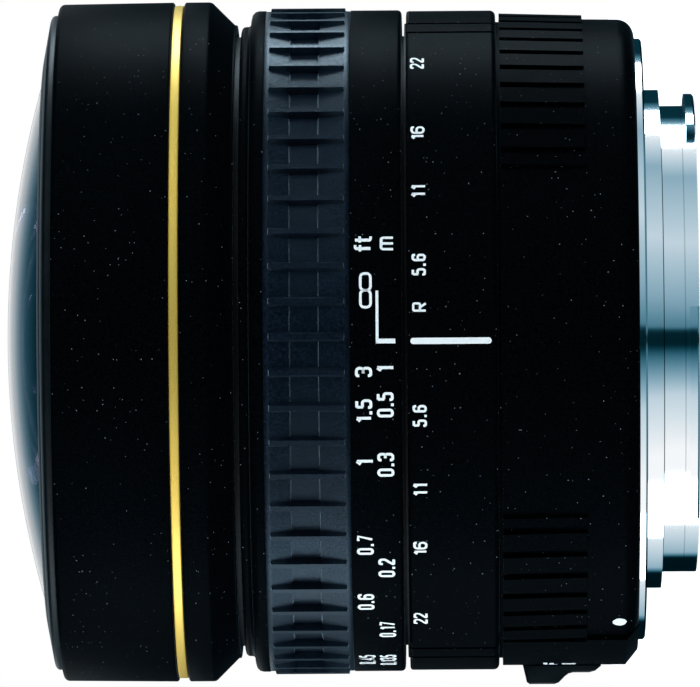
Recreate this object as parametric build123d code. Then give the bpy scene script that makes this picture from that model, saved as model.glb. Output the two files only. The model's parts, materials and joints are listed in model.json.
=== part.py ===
from build123d import *
import os
from math import acos, asin, atan2, cos, degrees, hypot, pi, radians, sin, sqrt, tan


def cap_curve(cap, radius):
    """Curve of a spherical surface whose cap has this height at this radius."""
    return (radius * radius + cap * cap) / 2 / cap


# Circular fisheye lens, millimetres.
# The optical axis is Z and +Z points to the front element.
# z = 0 is the seating face of the bayonet flange, and the lens stands on the end of its bayonet.
# An azimuth is counted about Z from +X, and the index line is at azimuth -90.
# The flange sets the radii of the outer rings, the rings set the barrel's bore, and the bore
# sets the focusing cell and its glass. Heights follow one another from the flange to the front.

# Clearances
RUN = 0.05            # radial clearance of a running fit
SLIP = 0.05           # radial clearance of a piece dropped into its seat
PART_GAP = 0.3        # axial gap between a turning piece and a fixed one
TOUCH = 0.02          # gap that keeps two curved faces of one body apart
FIXED_SEAM = 0.4      # shadow gap between two fixed outer rings
TURN_SEAM = 0.5       # shadow gap beside the focus ring

# Bayonet mount
FLANGE_R = 32.5
FLANGE_T = 0.8
REGISTER_R = FLANGE_R - 5.55
REGISTER_H = 1.8
BAYONET_R = REGISTER_R - 1.75
BAYONET_WALL = 2.6
BAYONET_BORE_R = BAYONET_R - BAYONET_WALL
BAYONET_H = 5.6
LUG_R = BAYONET_R + 1.3
LUG_T = 1.0
LUG_ARC = 54.0
LUG_STARTS = (-136.6, -30.0, 103.0)
MOUNT_SPIGOT_R = FLANGE_R - 1.5
MOUNT_T = FLANGE_T + 1.4
MOUNT_EDGE = 0.2
MOUNT_SCREW_PCR = MOUNT_SPIGOT_R - 1.8
MOUNT_SCREW_AZ = (45.0, 135.0, 225.0, 315.0)
LOCK_HOLE_R = 1.5
LOCK_HOLE_PCR = FLANGE_R - 2.9
LOCK_HOLE_DEPTH = 1.5
LOCK_HOLE_AZ = 180.0

# Screws
SCREW_R = 0.7
SCREW_HEAD_R = 1.35
SCREW_HEAD_H = 0.6
SCREW_L = 4.8
SMALL_SCREW_L = 2.2
CROSS_L = 1.6
CROSS_W = 0.35
CROSS_DEPTH = 0.35

# Rear body shell
REAR_BODY_L = 14.5
REAR_WALL = 1.55
REAR_TAPER = 0.2
REAR_BODY_Z0 = FLANGE_T
REAR_BODY_Z1 = REAR_BODY_Z0 + REAR_BODY_L
REAR_BORE_R = FLANGE_R + 0.5
REAR_R0 = REAR_BORE_R + REAR_WALL
REAR_R1 = REAR_R0 + REAR_TAPER
REAR_EDGE = 1.8
REAR_SPIGOT_R = REAR_R1 - 0.35
REAR_SPIGOT_H = 1.8
PAD_R0 = REAR_R1 + 0.32
PAD_R1 = PAD_R0 + 0.25
PAD_Z0 = REAR_BODY_Z1 - 8.9
PAD_GROOVE_PITCH = 5.18
PAD_GROOVE_W = 0.9
PAD_GROOVE_DEPTH = 0.45
# Grip pads: start azimuth, arc, azimuth of the first groove
PADS = ((-58.4, 116.8, -55.5), (-156.0, 33.6, -156.0), (122.4, 33.6, 124.9))
PANEL_R = REAR_R1 + 0.45
PANEL_AZ = 180.0
PANEL_ARC = 48.0
PANEL_CHAMFER_Z = 1.3
PANEL_CHAMFER_R = 1.6

# Main barrel, the fixed tube that everything is built on
BARREL_R = REAR_BORE_R - SLIP
BARREL_WALL = 1.15
BARREL_BORE_R = BARREL_R - BARREL_WALL
BARREL_REAR_BORE_R = BARREL_R - 2.35
BASE_RING_W = 3.4
BASE_RING_BORE_R = BARREL_REAR_BORE_R - BASE_RING_W
BASE_RING_TOP = MOUNT_T + 3.6
LEDGE_W = 3.2
LEDGE_BORE_R = BARREL_BORE_R - LEDGE_W
LEDGE_T = 1.0
LEDGE_SCREW_PCR = LEDGE_BORE_R + LEDGE_W / 2
GUIDE_SCREW_AZ = (0.0, 120.0, 240.0)
PLATE_SCREW_SIDE = 17.0

# Fixed ring with the depth-of-field scale
SCALE_L = 9.6
SCALE_Z0 = REAR_BODY_Z1 + FIXED_SEAM
SCALE_Z1 = SCALE_Z0 + SCALE_L
SCALE_R = REAR_R1 + 0.9
SCALE_FRONT_EDGE = 0.3
SCALE_REAR_EDGE = 0.6
SCALE_BORE_R = REAR_BORE_R + 0.95
SCALE_GROOVE_AZ = (-162.3, -157.5, -22.5, -17.7)
SCALE_GROOVE_W = 0.5
SCALE_GROOVE_DEPTH = 0.3
COLLAR_R = SCALE_BORE_R + 0.35
COLLAR_H = 0.5
COLLAR_Z0 = SCALE_Z1 - PART_GAP
COLLAR_Z1 = COLLAR_Z0 + COLLAR_H

# Focus ring and its rubber grip
FOCUS_RANGE = 86.0
FOCUS_L = 17.25
FOCUS_Z0 = SCALE_Z1 + TURN_SEAM
FOCUS_Z1 = FOCUS_Z0 + FOCUS_L
FOCUS_R = SCALE_R + 0.1
FOCUS_REAR_EDGE = 0.45
FOCUS_FRONT_ROUND = 0.8
FOCUS_NOSE_R = FOCUS_R - 1.7
FOCUS_NOSE_H = 1.1
FOCUS_NOSE_Z = FOCUS_Z1 - FOCUS_NOSE_H
FOCUS_INNER_R = BARREL_R + 0.65
GRIP_Z0 = FOCUS_Z0 + 5.5
GRIP_Z1 = FOCUS_NOSE_Z - 1.55
GRIP_T = 0.93
GRIP_SEAT_R = FOCUS_R - 1.0
GRIP_R = GRIP_SEAT_R + GRIP_T
GRIP_FLOOR_R = GRIP_R - 0.32
GRIP_POCKET_R = GRIP_R - 0.5
GRIP_SEAM_Z = (GRIP_Z0 + 3.3, GRIP_Z1 - 2.8)
GRIP_RIBS = 60
GRIP_RIB_R = GRIP_R + 0.35
GRIP_RIB_W = 1.9
GRIP_RIB_MARGIN = 0.6
FOCUS_LAND_Z = (GRIP_Z0 - 0.4, GRIP_Z0 + 0.7, FOCUS_NOSE_Z - 0.95)

# Front barrel, gold band and front ring
FRONT_L = 19.15
FRONT_Z0 = FOCUS_Z1 + TURN_SEAM
FRONT_Z1 = FRONT_Z0 + FRONT_L
FRONT_SKIRT_R = FOCUS_R + 1.0
FRONT_R = FRONT_SKIRT_R - 0.15
FRONT_EDGE = 0.5
FRONT_LIP_ROUND = 0.2
FRONT_CHAMFER = 2.5
FRONT_CHAMFER_Z = FRONT_Z0 + FRONT_CHAMFER + 0.25
BARREL_TOP = FRONT_Z0 + 4.45
BAND_Z = FRONT_CHAMFER_Z + 3.5
BAND_W = 0.9
BAND_R = FRONT_SKIRT_R - 0.35
BAND_T = 0.4
BAND_SEAT_R = BAND_R - BAND_T
BAND_GROOVE_W = BAND_W + 0.25
BEZEL_R = FRONT_R - 1.2
BEZEL_TOP = FRONT_Z1 + 1.45
BEZEL_WALL_H = 0.5
BEZEL_SPIGOT_R = FRONT_R - 2.8
BEZEL_SPIGOT_H = 1.7
BEZEL_GROOVE_R = BEZEL_R - 2.35
BEZEL_GROOVE_DEPTH = 0.25

# Front element
# A dome and a bowl of these heights set the curves of its two faces.
FRONT_GLASS_R = BEZEL_SPIGOT_R - 1.8
FRONT_GLASS_CLEAR_R = FRONT_GLASS_R - 1.0
FRONT_GLASS_STEP_Z = FRONT_Z1 + 0.3
FRONT_GLASS_STEP_H = 0.775
FRONT_GLASS_DOME_H = 4.825
FRONT_GLASS_T = 3.8
FRONT_GLASS_BOWL_H = 11.789
FRONT_GLASS_REAR_CLEAR_R = FRONT_GLASS_R - 10.5
FRONT_SEAT_BORE_R = FRONT_GLASS_REAR_CLEAR_R + 0.5
FRONT_SEAT_T = 1.4
BEZEL_LIP_R = FRONT_GLASS_CLEAR_R + 0.1

# Focusing cell, guide tube and cam tube
FOCUS_TRAVEL = 1.8
CELL_R = LEDGE_BORE_R - 6.45
CELL_SIZE = CELL_R / 22.15       # 1 on the real lens: radii inside the cell follow its radius
CELL_WALL = 1.7
CELL_NOSE_R = CELL_R - 0.85
CELL_WALL_BORE_R = CELL_R - CELL_WALL
CELL_ROOM_R = CELL_WALL_BORE_R - 0.85
CELL_CONE_H = 1.0
GUIDE_WALL = 1.4
GUIDE_FLANGE_T = 1.4
GUIDE_FLANGE_Z = BARREL_TOP - 5.4
CAM_WALL = 1.25
ROLLER_AZ = (30.0, 150.0, 270.0)
ROLLER_R = 1.0
ROLLER_SHANK_R = 0.6
KEY_AZ = (100.0, 280.0)
KEY_Z0 = FOCUS_Z0 + 1.8
KEY_H = 2.4
KEY_W = 3.0
KEY_DEPTH = 0.9
GUIDE_BORE_R = CELL_R + RUN
GUIDE_R = GUIDE_BORE_R + GUIDE_WALL
CAM_BORE_R = GUIDE_R + RUN
CAM_R = CAM_BORE_R + CAM_WALL
CAM_TOP = GUIDE_FLANGE_Z - PART_GAP

# Focus gears
RING_TEETH = 90
RING_GEAR_DEPTH = 1.15
RING_PITCH_R = CAM_BORE_R - RING_GEAR_DEPTH
RING_MODULE = 2 * RING_PITCH_R / RING_TEETH
RING_GEAR_H = 1.8
OUTPUT_PINION_TEETH = 10
TRAIN_MODULE = 0.4
WHEEL_TEETH = 30
TRAIN_PINION_TEETH = 10
PRESSURE_ANGLE = 20.0
ADDENDUM = 0.8
DEDENDUM = 1.15
BACKLASH = 0.07
GEAR_T = 0.7
GEAR_HUB_WALL = 0.45
AXLE_R = 0.75
OUTPUT_AZ = 60.0
GEAR_PLATE_Z = SCALE_Z1 - 3.9
GEAR_PLATE_T = 0.8
GEAR_PLATE_RIM = 0.5
GEAR_LEVEL_GAP = 0.25
MOTOR_R = 6.0
MOTOR_FLAT = 10.0
MOTOR_ROOM = 1.6
MOTOR_BOSS_R = 2.0
MOTOR_BOSS_H = 1.0
MOTOR_SHAFT_R = 0.6
OUTPUT_PITCH_R = RING_MODULE * OUTPUT_PINION_TEETH / 2
OUTPUT_PCR = RING_PITCH_R - OUTPUT_PITCH_R
WHEEL_PITCH_R = TRAIN_MODULE * WHEEL_TEETH / 2
PINION_PITCH_R = TRAIN_MODULE * TRAIN_PINION_TEETH / 2
TRAIN_CENTRES = WHEEL_PITCH_R + PINION_PITCH_R
TRAIN_STEP_AZ = 2 * degrees(asin(TRAIN_CENTRES / 2 / OUTPUT_PCR))
REDUCTION_AZ = OUTPUT_AZ + TRAIN_STEP_AZ
MOTOR_AZ = REDUCTION_AZ + TRAIN_STEP_AZ
PLATE_SCREW_AZ = (OUTPUT_AZ - PLATE_SCREW_SIDE, MOTOR_AZ + PLATE_SCREW_SIDE)
GEAR_PLATE_TOP = GEAR_PLATE_Z + GEAR_PLATE_T
GEAR_LEVEL_1 = GEAR_PLATE_TOP + GEAR_LEVEL_GAP
GEAR_LEVEL_2 = GEAR_LEVEL_1 + GEAR_T + GEAR_LEVEL_GAP
RING_GEAR_Z = GEAR_LEVEL_2 + GEAR_T + GEAR_LEVEL_GAP
GUIDE_Z0 = RING_GEAR_Z + RING_GEAR_H + 0.65

# Diaphragm
BLADES = 6
BLADE_T = 0.1
BLADE_STEP = 2 * BLADE_T
IRIS_SIZE = CELL_ROOM_R / 19.6   # 1 on the real lens: the diaphragm follows the cell's room
BLADE_INNER_R = 5.4 * IRIS_SIZE
BLADE_OUTER_R = 9.9 * IRIS_SIZE
BLADE_ARC = (-6.0, 96.0)
BLADE_SWING = 24.4
PIVOT_PCR = 10.9 * IRIS_SIZE
PIVOT_R = 0.5
DRIVE_PCR = 12.9 * IRIS_SIZE
DRIVE_AZ = 10.0
DRIVE_R = 0.45
EAR_R = 0.95 * IRIS_SIZE
APERTURE_R = 5.0 * IRIS_SIZE
APERTURE_RANGE = 30.0
BASE_PLATE_Z = GUIDE_Z0 + 3.1
BASE_PLATE_T = 0.8
BASE_PLATE_R = CELL_WALL_BORE_R - SLIP
IRIS_RING_R = 14.2 * IRIS_SIZE
IRIS_RING_BORE_R = 10.4 * IRIS_SIZE
IRIS_RING_T = 0.8
IRIS_SPIGOT_WALL = 1.0
IRIS_MODULE = 0.4 * IRIS_SIZE
IRIS_SECTOR_TEETH = 72
IRIS_SECTOR_ARC = 48.0
IRIS_SECTOR_ROOT = 0.5
IRIS_PINION_TEETH = 10
IRIS_MOTOR_AZ = 240.0
IRIS_MOTOR_R = 3.8 * IRIS_SIZE
IRIS_MOTOR_L = 7.6
IRIS_SHAFT_R = 0.5
COVER_T = 0.6
COVER_R = CELL_ROOM_R - 0.4
POST_R = 1.2
POST_PCR = COVER_R - 1.6
POST_AZ = (0.0, 120.0, 180.0)
IRIS_SECTOR_R = IRIS_MODULE * IRIS_SECTOR_TEETH / 2
IRIS_PINION_R = IRIS_MODULE * IRIS_PINION_TEETH / 2
IRIS_MOTOR_PCR = IRIS_SECTOR_R + IRIS_PINION_R
BLADE_Z0 = BASE_PLATE_Z + BASE_PLATE_T + BLADE_T / 2
BLADES_TOP = BLADE_Z0 + (BLADES - 1) * BLADE_STEP + BLADE_T
IRIS_RING_Z = BLADES_TOP + BLADE_T
IRIS_COVER_Z = IRIS_RING_Z + IRIS_RING_T + BLADE_T

# Inner glass: heights are counted from the diaphragm's base plate
# A cap is the depth of a surface at its edge, and a curve is its radius.
# Both are positive where the centre lies behind the surface.
CELL_Z0 = BASE_PLATE_Z - 0.9
CELL_ROOM_TOP = BASE_PLATE_Z + 6.3
CELL_SHOULDER_Z = BASE_PLATE_Z + 15.1
CELL_TOP = BASE_PLATE_Z + 19.3
ROLLER_Z = BASE_PLATE_Z + 3.1
SECOND_R = CELL_NOSE_R - 1.8
SECOND_REAR_CLEAR_R = 12.0 * CELL_SIZE
SECOND_CAPS = (5.385, 7.315)
SECOND_SURFACES = (BASE_PLATE_Z + 24.1, cap_curve(SECOND_CAPS[0], SECOND_R),
                   BASE_PLATE_Z + 21.9, cap_curve(SECOND_CAPS[1], SECOND_REAR_CLEAR_R))
THIRD_R = 11.2 * CELL_SIZE
FOURTH_R = 9.6 * CELL_SIZE
THIRD_CAPS = (-1.055, 3.81)
THIRD_SURFACES = (BASE_PLATE_Z + 13.1, cap_curve(THIRD_CAPS[0], THIRD_R),
                  BASE_PLATE_Z + 11.7, cap_curve(THIRD_CAPS[1], FOURTH_R))
FOURTH_REAR_CAP = -1.578
FOURTH_SURFACES = (THIRD_SURFACES[2], THIRD_SURFACES[3],
                   BASE_PLATE_Z + 5.7, cap_curve(FOURTH_REAR_CAP, FOURTH_R))
TRIPLET_R = 6.5 * CELL_SIZE
TRIPLET_DEPTHS = (1.7, 5.5, 6.6, 10.5)
TRIPLET_CAPS = (1.214, -1.601, 1.913, -1.086)
TRIPLET_Z = [BASE_PLATE_Z - depth for depth in TRIPLET_DEPTHS]
TRIPLET_CURVES = [cap_curve(cap, TRIPLET_R) for cap in TRIPLET_CAPS]
EIGHTH_R = 7.5 * CELL_SIZE
EIGHTH_DEPTHS = (11.3, 15.3, 16.5)
EIGHTH_CAPS = (1.105, -2.382, -0.891)
EIGHTH_Z = [BASE_PLATE_Z - depth for depth in EIGHTH_DEPTHS]
EIGHTH_CURVES = [cap_curve(cap, EIGHTH_R) for cap in EIGHTH_CAPS]
TENTH_R = 8.5 * CELL_SIZE
TENTH_DEPTHS = (17.5, 21.7, 22.9)
TENTH_CAPS = (1.23, -2.444, -0.605)
TENTH_Z = [BASE_PLATE_Z - depth for depth in TENTH_DEPTHS]
TENTH_CURVES = [cap_curve(cap, TENTH_R) for cap in TENTH_CAPS]

# Rear lens tube
REAR_TUBE_WALL = 1.4
REAR_TUBE_R = TENTH_R + REAR_TUBE_WALL
REAR_TUBE_Z0 = BASE_PLATE_Z - 23.5
REAR_TUBE_FLANGE_R = IRIS_MOTOR_PCR - IRIS_MOTOR_R - 0.6
REAR_TUBE_FLANGE_T = 1.0
RETAINER_W = 1.0

# Rear cover, filter holder, contacts and circuit board
COVER_PLATE_Z = -1.0
COVER_PLATE_T = 1.4
COVER_WALL = 0.9
COVER_RIM_Z = 0.7 - BAYONET_H
COVER_FLANGE_R = BASE_RING_BORE_R - 0.7
COVER_FLANGE_T = 0.6
WINDOW_R = TENTH_R + 0.3
HOLDER_X = 2 * WINDOW_R + 8.4
HOLDER_Y = 2 * WINDOW_R + 6.4
HOLDER_T = 1.6
HOLDER_CORNER_R = 1.6
HOLDER_SLOT_H = 0.5
HOLDER_SLOT_X = HOLDER_X - 5.0
CONTACT_AZ = 90.0
CONTACT_ARC = 62.0
CONTACT_R0 = BAYONET_BORE_R - 3.8
CONTACT_REAR_Z = COVER_RIM_Z - 0.4
CONTACT_COUNT = 7
CONTACT_PITCH = 8.0
CONTACT_PIN_R = 0.55
CONTACT_PIN_OUT = 0.15
CONTACT_PIN_PCR = BAYONET_BORE_R - 2.0
FLEX_W = 8.0
FLEX_T = 0.15
FLEX_Y = BAYONET_BORE_R - 1.6
BOARD_T = 1.0
BOARD_R = BARREL_REAR_BORE_R - 0.4
BOARD_BORE_R = REAR_TUBE_R + 3.1
BOARD_SCREW_PCR = BOARD_R - 1.4
BOARD_SCREW_AZ = (0.0, 110.0, 250.0)
MOTOR_L = GEAR_PLATE_Z - BASE_RING_TOP - BOARD_T - MOTOR_ROOM

# Focus mode switch on the side panel
SWITCH_TRAVEL = 2.2
SWITCH_L = 8.25
SWITCH_Z1 = REAR_BODY_Z1 - 2.4
SWITCH_Z0 = SWITCH_Z1 - SWITCH_L
SWITCH_W = 5.0
SWITCH_LOW = 0.75
SWITCH_TALL = 2.05
SWITCH_GRIP_L = 3.6
SWITCH_NOSE = 0.525
SWITCH_SLOPE_L = 2.08
SWITCH_TAIL_L = 1.2
SWITCH_TAIL_FOOT = 0.6
SWITCH_TAIL_DROP = 0.1875
SWITCH_TALL_Z = SWITCH_Z1 - SWITCH_GRIP_L
SWITCH_STEM_W = 1.8
SWITCH_STEM_Z0 = SWITCH_TALL_Z + 0.6
SWITCH_STEM_L = 2.2
SWITCH_POCKET_R = REAR_BORE_R - 1.4
SWITCH_POCKET_W = 7.0
SWITCH_POCKET_Z = (SWITCH_STEM_Z0 - 6.3, SWITCH_STEM_Z0 + 4.7)
SWITCH_PLATE_T = 0.4
SWITCH_PLATE_W = 4.4
SWITCH_PLATE_L = 4.4


def polar(radius, azimuth, z=0.0):
    """Point at a radius and azimuth about the optical axis."""
    return (radius * cos(radians(azimuth)), radius * sin(radians(azimuth)), z)


def plan(radius, azimuth):
    """Point of the plan at a radius and azimuth."""
    return polar(radius, azimuth)[:2]


def revolved(points, start=0.0, arc=360.0):
    """Solid swept about the optical axis from an outline of (radius, height) points."""
    outline = Polyline(*[(r, 0, z) for r, z in points], close=True)
    solid = revolve(make_face(outline), Axis.Z, arc)
    return solid.rotate(Axis.Z, start) if start else solid


def tube(outer, inner, z0, z1):
    """Plain ring between two radii and two heights."""
    return revolved([(inner, z0), (outer, z0), (outer, z1), (inner, z1)])


def rod(radius, z0, z1, x=0.0, y=0.0):
    """Round bar along Z between two heights."""
    return Pos(x, y, (z0 + z1) / 2) * Cylinder(radius, z1 - z0)


def radial_rod(radius, r0, r1, azimuth, z):
    """Round bar that points away from the optical axis."""
    bar = Pos((r0 + r1) / 2, 0, z) * Rot(0, 90, 0) * Cylinder(radius, r1 - r0)
    return bar.rotate(Axis.Z, azimuth)


def block(r0, r1, width, z0, z1, azimuth):
    """Box that lies along a radius at an azimuth."""
    box = Pos((r0 + r1) / 2, 0, (z0 + z1) / 2) * Box(r1 - r0, width, z1 - z0)
    return box.rotate(Axis.Z, azimuth)


def circle_edges(solid, radius, z):
    """Full or part circles about the optical axis at one radius and height."""
    near = 0.01
    found = []
    for edge in solid.edges().filter_by(GeomType.CIRCLE):
        centre = edge.arc_center
        on_axis = hypot(centre.X, centre.Y) < near
        if on_axis and abs(centre.Z - z) < near and abs(edge.radius - radius) < near:
            found.append(edge)
    return found


def countersunk_screw(length):
    """Countersunk cross-head screw pointing up, with its head flush at z = 0."""
    head = Cone(SCREW_HEAD_R, SCREW_R, SCREW_HEAD_H, align=(Align.CENTER, Align.CENTER, Align.MIN))
    screw = head + rod(SCREW_R, 0, length)
    screw -= Pos(0, 0, CROSS_DEPTH / 2) * Box(CROSS_L, CROSS_W, CROSS_DEPTH)
    screw -= Pos(0, 0, CROSS_DEPTH / 2) * Box(CROSS_W, CROSS_L, CROSS_DEPTH)
    return screw


def countersunk_hole(length):
    """Hole that a countersunk screw of this length fills."""
    head = Cone(SCREW_HEAD_R, SCREW_R, SCREW_HEAD_H, align=(Align.CENTER, Align.CENTER, Align.MIN))
    return head + rod(SCREW_R, 0, length)


def placed(shape, radius, azimuths, z):
    """Copies of a shape at one radius and several azimuths."""
    return [Pos(*polar(radius, azimuth, z)) * shape for azimuth in azimuths]


def group(solids):
    """Several separate solids as one node."""
    return Compound(children=list(solids))


def sag(curve, radius):
    """Depth of a spherical surface below its vertex at a radius."""
    if curve > 0:
        return curve - sqrt(curve * curve - radius * radius)
    return curve + sqrt(curve * curve - radius * radius)


def lens(front_z, front_curve, rear_z, rear_curve, edge, rear_clear=None):
    """Glass element between two spherical surfaces, with a flat rim behind where asked."""
    rear_clear = rear_clear or edge
    front_rim = (edge, 0, front_z - sag(front_curve, edge))
    rear_rim = (rear_clear, 0, rear_z - sag(rear_curve, rear_clear))
    front_mid = (edge / 2, 0, front_z - sag(front_curve, edge / 2))
    rear_mid = (rear_clear / 2, 0, rear_z - sag(rear_curve, rear_clear / 2))
    lines = ThreePointArc((0, 0, front_z), front_mid, front_rim)
    if rear_clear < edge:
        corner = (edge, 0, rear_rim[2])
        lines += Line(front_rim, corner)
        lines += Line(corner, rear_rim)
    else:
        lines += Line(front_rim, rear_rim)
    lines += ThreePointArc(rear_rim, rear_mid, (0, 0, rear_z))
    lines += Line((0, 0, rear_z), (0, 0, front_z))
    return revolve(make_face(lines), Axis.Z)


def involute(angle):
    """Involute function of an angle in radians."""
    return tan(angle) - angle


def gear_face(module, teeth, addendum, dedendum, slack):
    """Outline of a spur gear with a tooth centred on azimuth 0, thinned by a slack at the pitch."""
    pitch_r = module * teeth / 2
    base_r = pitch_r * cos(radians(PRESSURE_ANGLE))
    root_r = pitch_r - dedendum * module
    tip_r = pitch_r + addendum * module

    def half_angle(radius):
        roll = acos(min(1.0, base_r / radius))
        at_pitch = pi / 2 / teeth - slack / 2 / pitch_r
        return at_pitch + involute(radians(PRESSURE_ANGLE)) - involute(roll)

    flank = [root_r, pitch_r, tip_r] if root_r >= base_r else [root_r, base_r, pitch_r, tip_r]
    points = []
    for tooth in range(teeth):
        middle = 2 * pi * tooth / teeth
        for radius in flank:
            angle = middle - half_angle(radius)
            points.append((radius * cos(angle), radius * sin(angle)))
        for radius in reversed(flank):
            angle = middle + half_angle(radius)
            points.append((radius * cos(angle), radius * sin(angle)))
    return make_face(Polyline(*points, close=True))


def gear(module, teeth, thickness, phase, slack=BACKLASH):
    """Spur gear standing on z = 0 with a tooth at the azimuth given as its phase."""
    face = gear_face(module, teeth, ADDENDUM, DEDENDUM, slack)
    return extrude(face, thickness).rotate(Axis.Z, phase)


def facing(point, other):
    """Azimuth of one point of the plan as seen from another."""
    return degrees(atan2(other[1] - point[1], other[0] - point[0]))


# Mount end

def mount_ring():
    """Bayonet ring: flange, register, tube, three lugs, screw holes and lock hole."""
    ring = revolved([
        (BAYONET_BORE_R, MOUNT_T), (MOUNT_SPIGOT_R, MOUNT_T), (MOUNT_SPIGOT_R, FLANGE_T),
        (FLANGE_R, FLANGE_T), (FLANGE_R, 0), (REGISTER_R, 0), (REGISTER_R, -REGISTER_H),
        (BAYONET_R, -REGISTER_H), (BAYONET_R, -BAYONET_H), (BAYONET_BORE_R, -BAYONET_H),
    ])
    lug_low = -BAYONET_H
    lug_high = lug_low + LUG_T
    lug = [
        (BAYONET_R - MOUNT_EDGE, lug_low), (LUG_R - MOUNT_EDGE, lug_low),
        (LUG_R, lug_low + MOUNT_EDGE), (LUG_R, lug_high), (BAYONET_R - MOUNT_EDGE, lug_high),
    ]
    for start in LUG_STARTS:
        ring += revolved(lug, start, LUG_ARC)
    ring -= placed(countersunk_hole(SCREW_L), MOUNT_SCREW_PCR, MOUNT_SCREW_AZ, 0)
    ring -= rod(LOCK_HOLE_R, 0, LOCK_HOLE_DEPTH, *plan(LOCK_HOLE_PCR, LOCK_HOLE_AZ))
    return chamfer(circle_edges(ring, FLANGE_R, 0), MOUNT_EDGE)


def mount_screws():
    """Four screws that hold the bayonet ring to the main barrel."""
    return group(placed(countersunk_screw(SCREW_L), MOUNT_SCREW_PCR, MOUNT_SCREW_AZ, 0))


def contact_block_shape(grow):
    """Arc of plastic that carries the contacts, enlarged by a clearance for its seat."""
    side = degrees(grow / CONTACT_R0)
    outer = BAYONET_BORE_R - SLIP + grow
    return revolved(
        [(CONTACT_R0 - grow, CONTACT_REAR_Z - grow), (outer, CONTACT_REAR_Z - grow),
         (outer, COVER_PLATE_Z), (CONTACT_R0 - grow, COVER_PLATE_Z)],
        CONTACT_AZ - CONTACT_ARC / 2 - side, CONTACT_ARC + 2 * side)


def contact_azimuths():
    """Azimuths of the row of contacts."""
    middle = (CONTACT_COUNT - 1) / 2
    return [CONTACT_AZ + (i - middle) * CONTACT_PITCH for i in range(CONTACT_COUNT)]


def contact_block():
    """Contact block with a hole for each contact."""
    block_shape = contact_block_shape(0)
    for azimuth in contact_azimuths():
        pin_place = plan(CONTACT_PIN_PCR, azimuth)
        block_shape -= rod(CONTACT_PIN_R, CONTACT_REAR_Z, COVER_PLATE_Z, *pin_place)
    return block_shape


def contact_pins():
    """Contacts that stand a little out of the block."""
    tip = CONTACT_REAR_Z - CONTACT_PIN_OUT
    return group([rod(CONTACT_PIN_R, tip, COVER_PLATE_Z, *plan(CONTACT_PIN_PCR, azimuth))
                  for azimuth in contact_azimuths()])


def flex_strip(grow):
    """Flexible strip from the contacts to the circuit board, enlarged for its slot."""
    low = COVER_PLATE_Z
    high = BASE_RING_TOP
    size = Box(FLEX_W + 2 * grow, FLEX_T + 2 * grow, high - low)
    return Pos(0, FLEX_Y + FLEX_T / 2, (low + high) / 2) * size


def rear_cover():
    """Black cup inside the bayonet, hung from a flange, with the light window in its floor."""
    outer = BAYONET_BORE_R - SLIP
    inner = outer - COVER_WALL
    plate_top = COVER_PLATE_Z + COVER_PLATE_T
    flange_top = MOUNT_T + COVER_FLANGE_T
    cup = revolved([
        (WINDOW_R, COVER_PLATE_Z), (inner, COVER_PLATE_Z), (inner, COVER_RIM_Z),
        (outer, COVER_RIM_Z), (outer, MOUNT_T), (COVER_FLANGE_R, MOUNT_T),
        (COVER_FLANGE_R, flange_top), (inner, flange_top), (inner, plate_top),
        (WINDOW_R, plate_top),
    ])
    cup -= contact_block_shape(TOUCH)
    return cup - flex_strip(2 * TOUCH)


def filter_holder():
    """Frame that takes a cut sheet of gelatin filter in a slot open at one side."""
    low = COVER_PLATE_Z - HOLDER_T
    frame = Pos(0, 0, low + HOLDER_T / 2) * Box(HOLDER_X, HOLDER_Y, HOLDER_T)
    frame = fillet(frame.edges().filter_by(Axis.Z), HOLDER_CORNER_R)
    frame -= rod(WINDOW_R, low, COVER_PLATE_Z)
    slot_low = -HOLDER_Y / 2 - PART_GAP
    slot_high = HOLDER_SLOT_X / 2
    slot = Box(HOLDER_SLOT_X, slot_high - slot_low, HOLDER_SLOT_H)
    return frame - Pos(0, (slot_low + slot_high) / 2, low + HOLDER_T / 2) * slot


def rear_body():
    """Rear shell with ribbed grip pads, the switch panel and the spigot for the scale ring."""
    shell = revolved([
        (MOUNT_SPIGOT_R + TOUCH, REAR_BODY_Z0), (REAR_R0, REAR_BODY_Z0), (REAR_R1, REAR_BODY_Z1),
        (REAR_SPIGOT_R, REAR_BODY_Z1), (REAR_SPIGOT_R, REAR_BODY_Z1 + REAR_SPIGOT_H),
        (REAR_BORE_R, REAR_BODY_Z1 + REAR_SPIGOT_H), (REAR_BORE_R, MOUNT_T),
        (MOUNT_SPIGOT_R + TOUCH, MOUNT_T),
    ])
    shell = fillet(circle_edges(shell, REAR_R0, REAR_BODY_Z0), REAR_EDGE)
    inner = REAR_BORE_R + PART_GAP
    pad = [(inner, PAD_Z0), (PAD_R0, PAD_Z0), (PAD_R1, REAR_BODY_Z1), (inner, REAR_BODY_Z1)]
    for start, arc, first_groove in PADS:
        shell += revolved(pad, start, arc)
    panel_low = REAR_BODY_Z0 + PANEL_CHAMFER_Z
    shell += revolved([
        (inner, REAR_BODY_Z0), (PANEL_R - PANEL_CHAMFER_R, REAR_BODY_Z0), (PANEL_R, panel_low),
        (PANEL_R, REAR_BODY_Z1), (inner, REAR_BODY_Z1),
    ], PANEL_AZ - PANEL_ARC / 2, PANEL_ARC)
    groove_floor = PAD_R0 - PAD_GROOVE_DEPTH
    groove = block(groove_floor, PAD_R1 + PART_GAP, PAD_GROOVE_W, PAD_Z0, REAR_BODY_Z1, 0)
    shell -= [groove.rotate(Axis.Z, azimuth) for azimuth in pad_groove_azimuths()]
    slot_low = SWITCH_STEM_Z0 - SWITCH_TRAVEL - RUN
    slot_high = SWITCH_STEM_Z0 + SWITCH_STEM_L + RUN
    return shell - block(REAR_BORE_R - PART_GAP, PANEL_R + PART_GAP, SWITCH_STEM_W + 2 * RUN,
                         slot_low, slot_high, PANEL_AZ)


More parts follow.
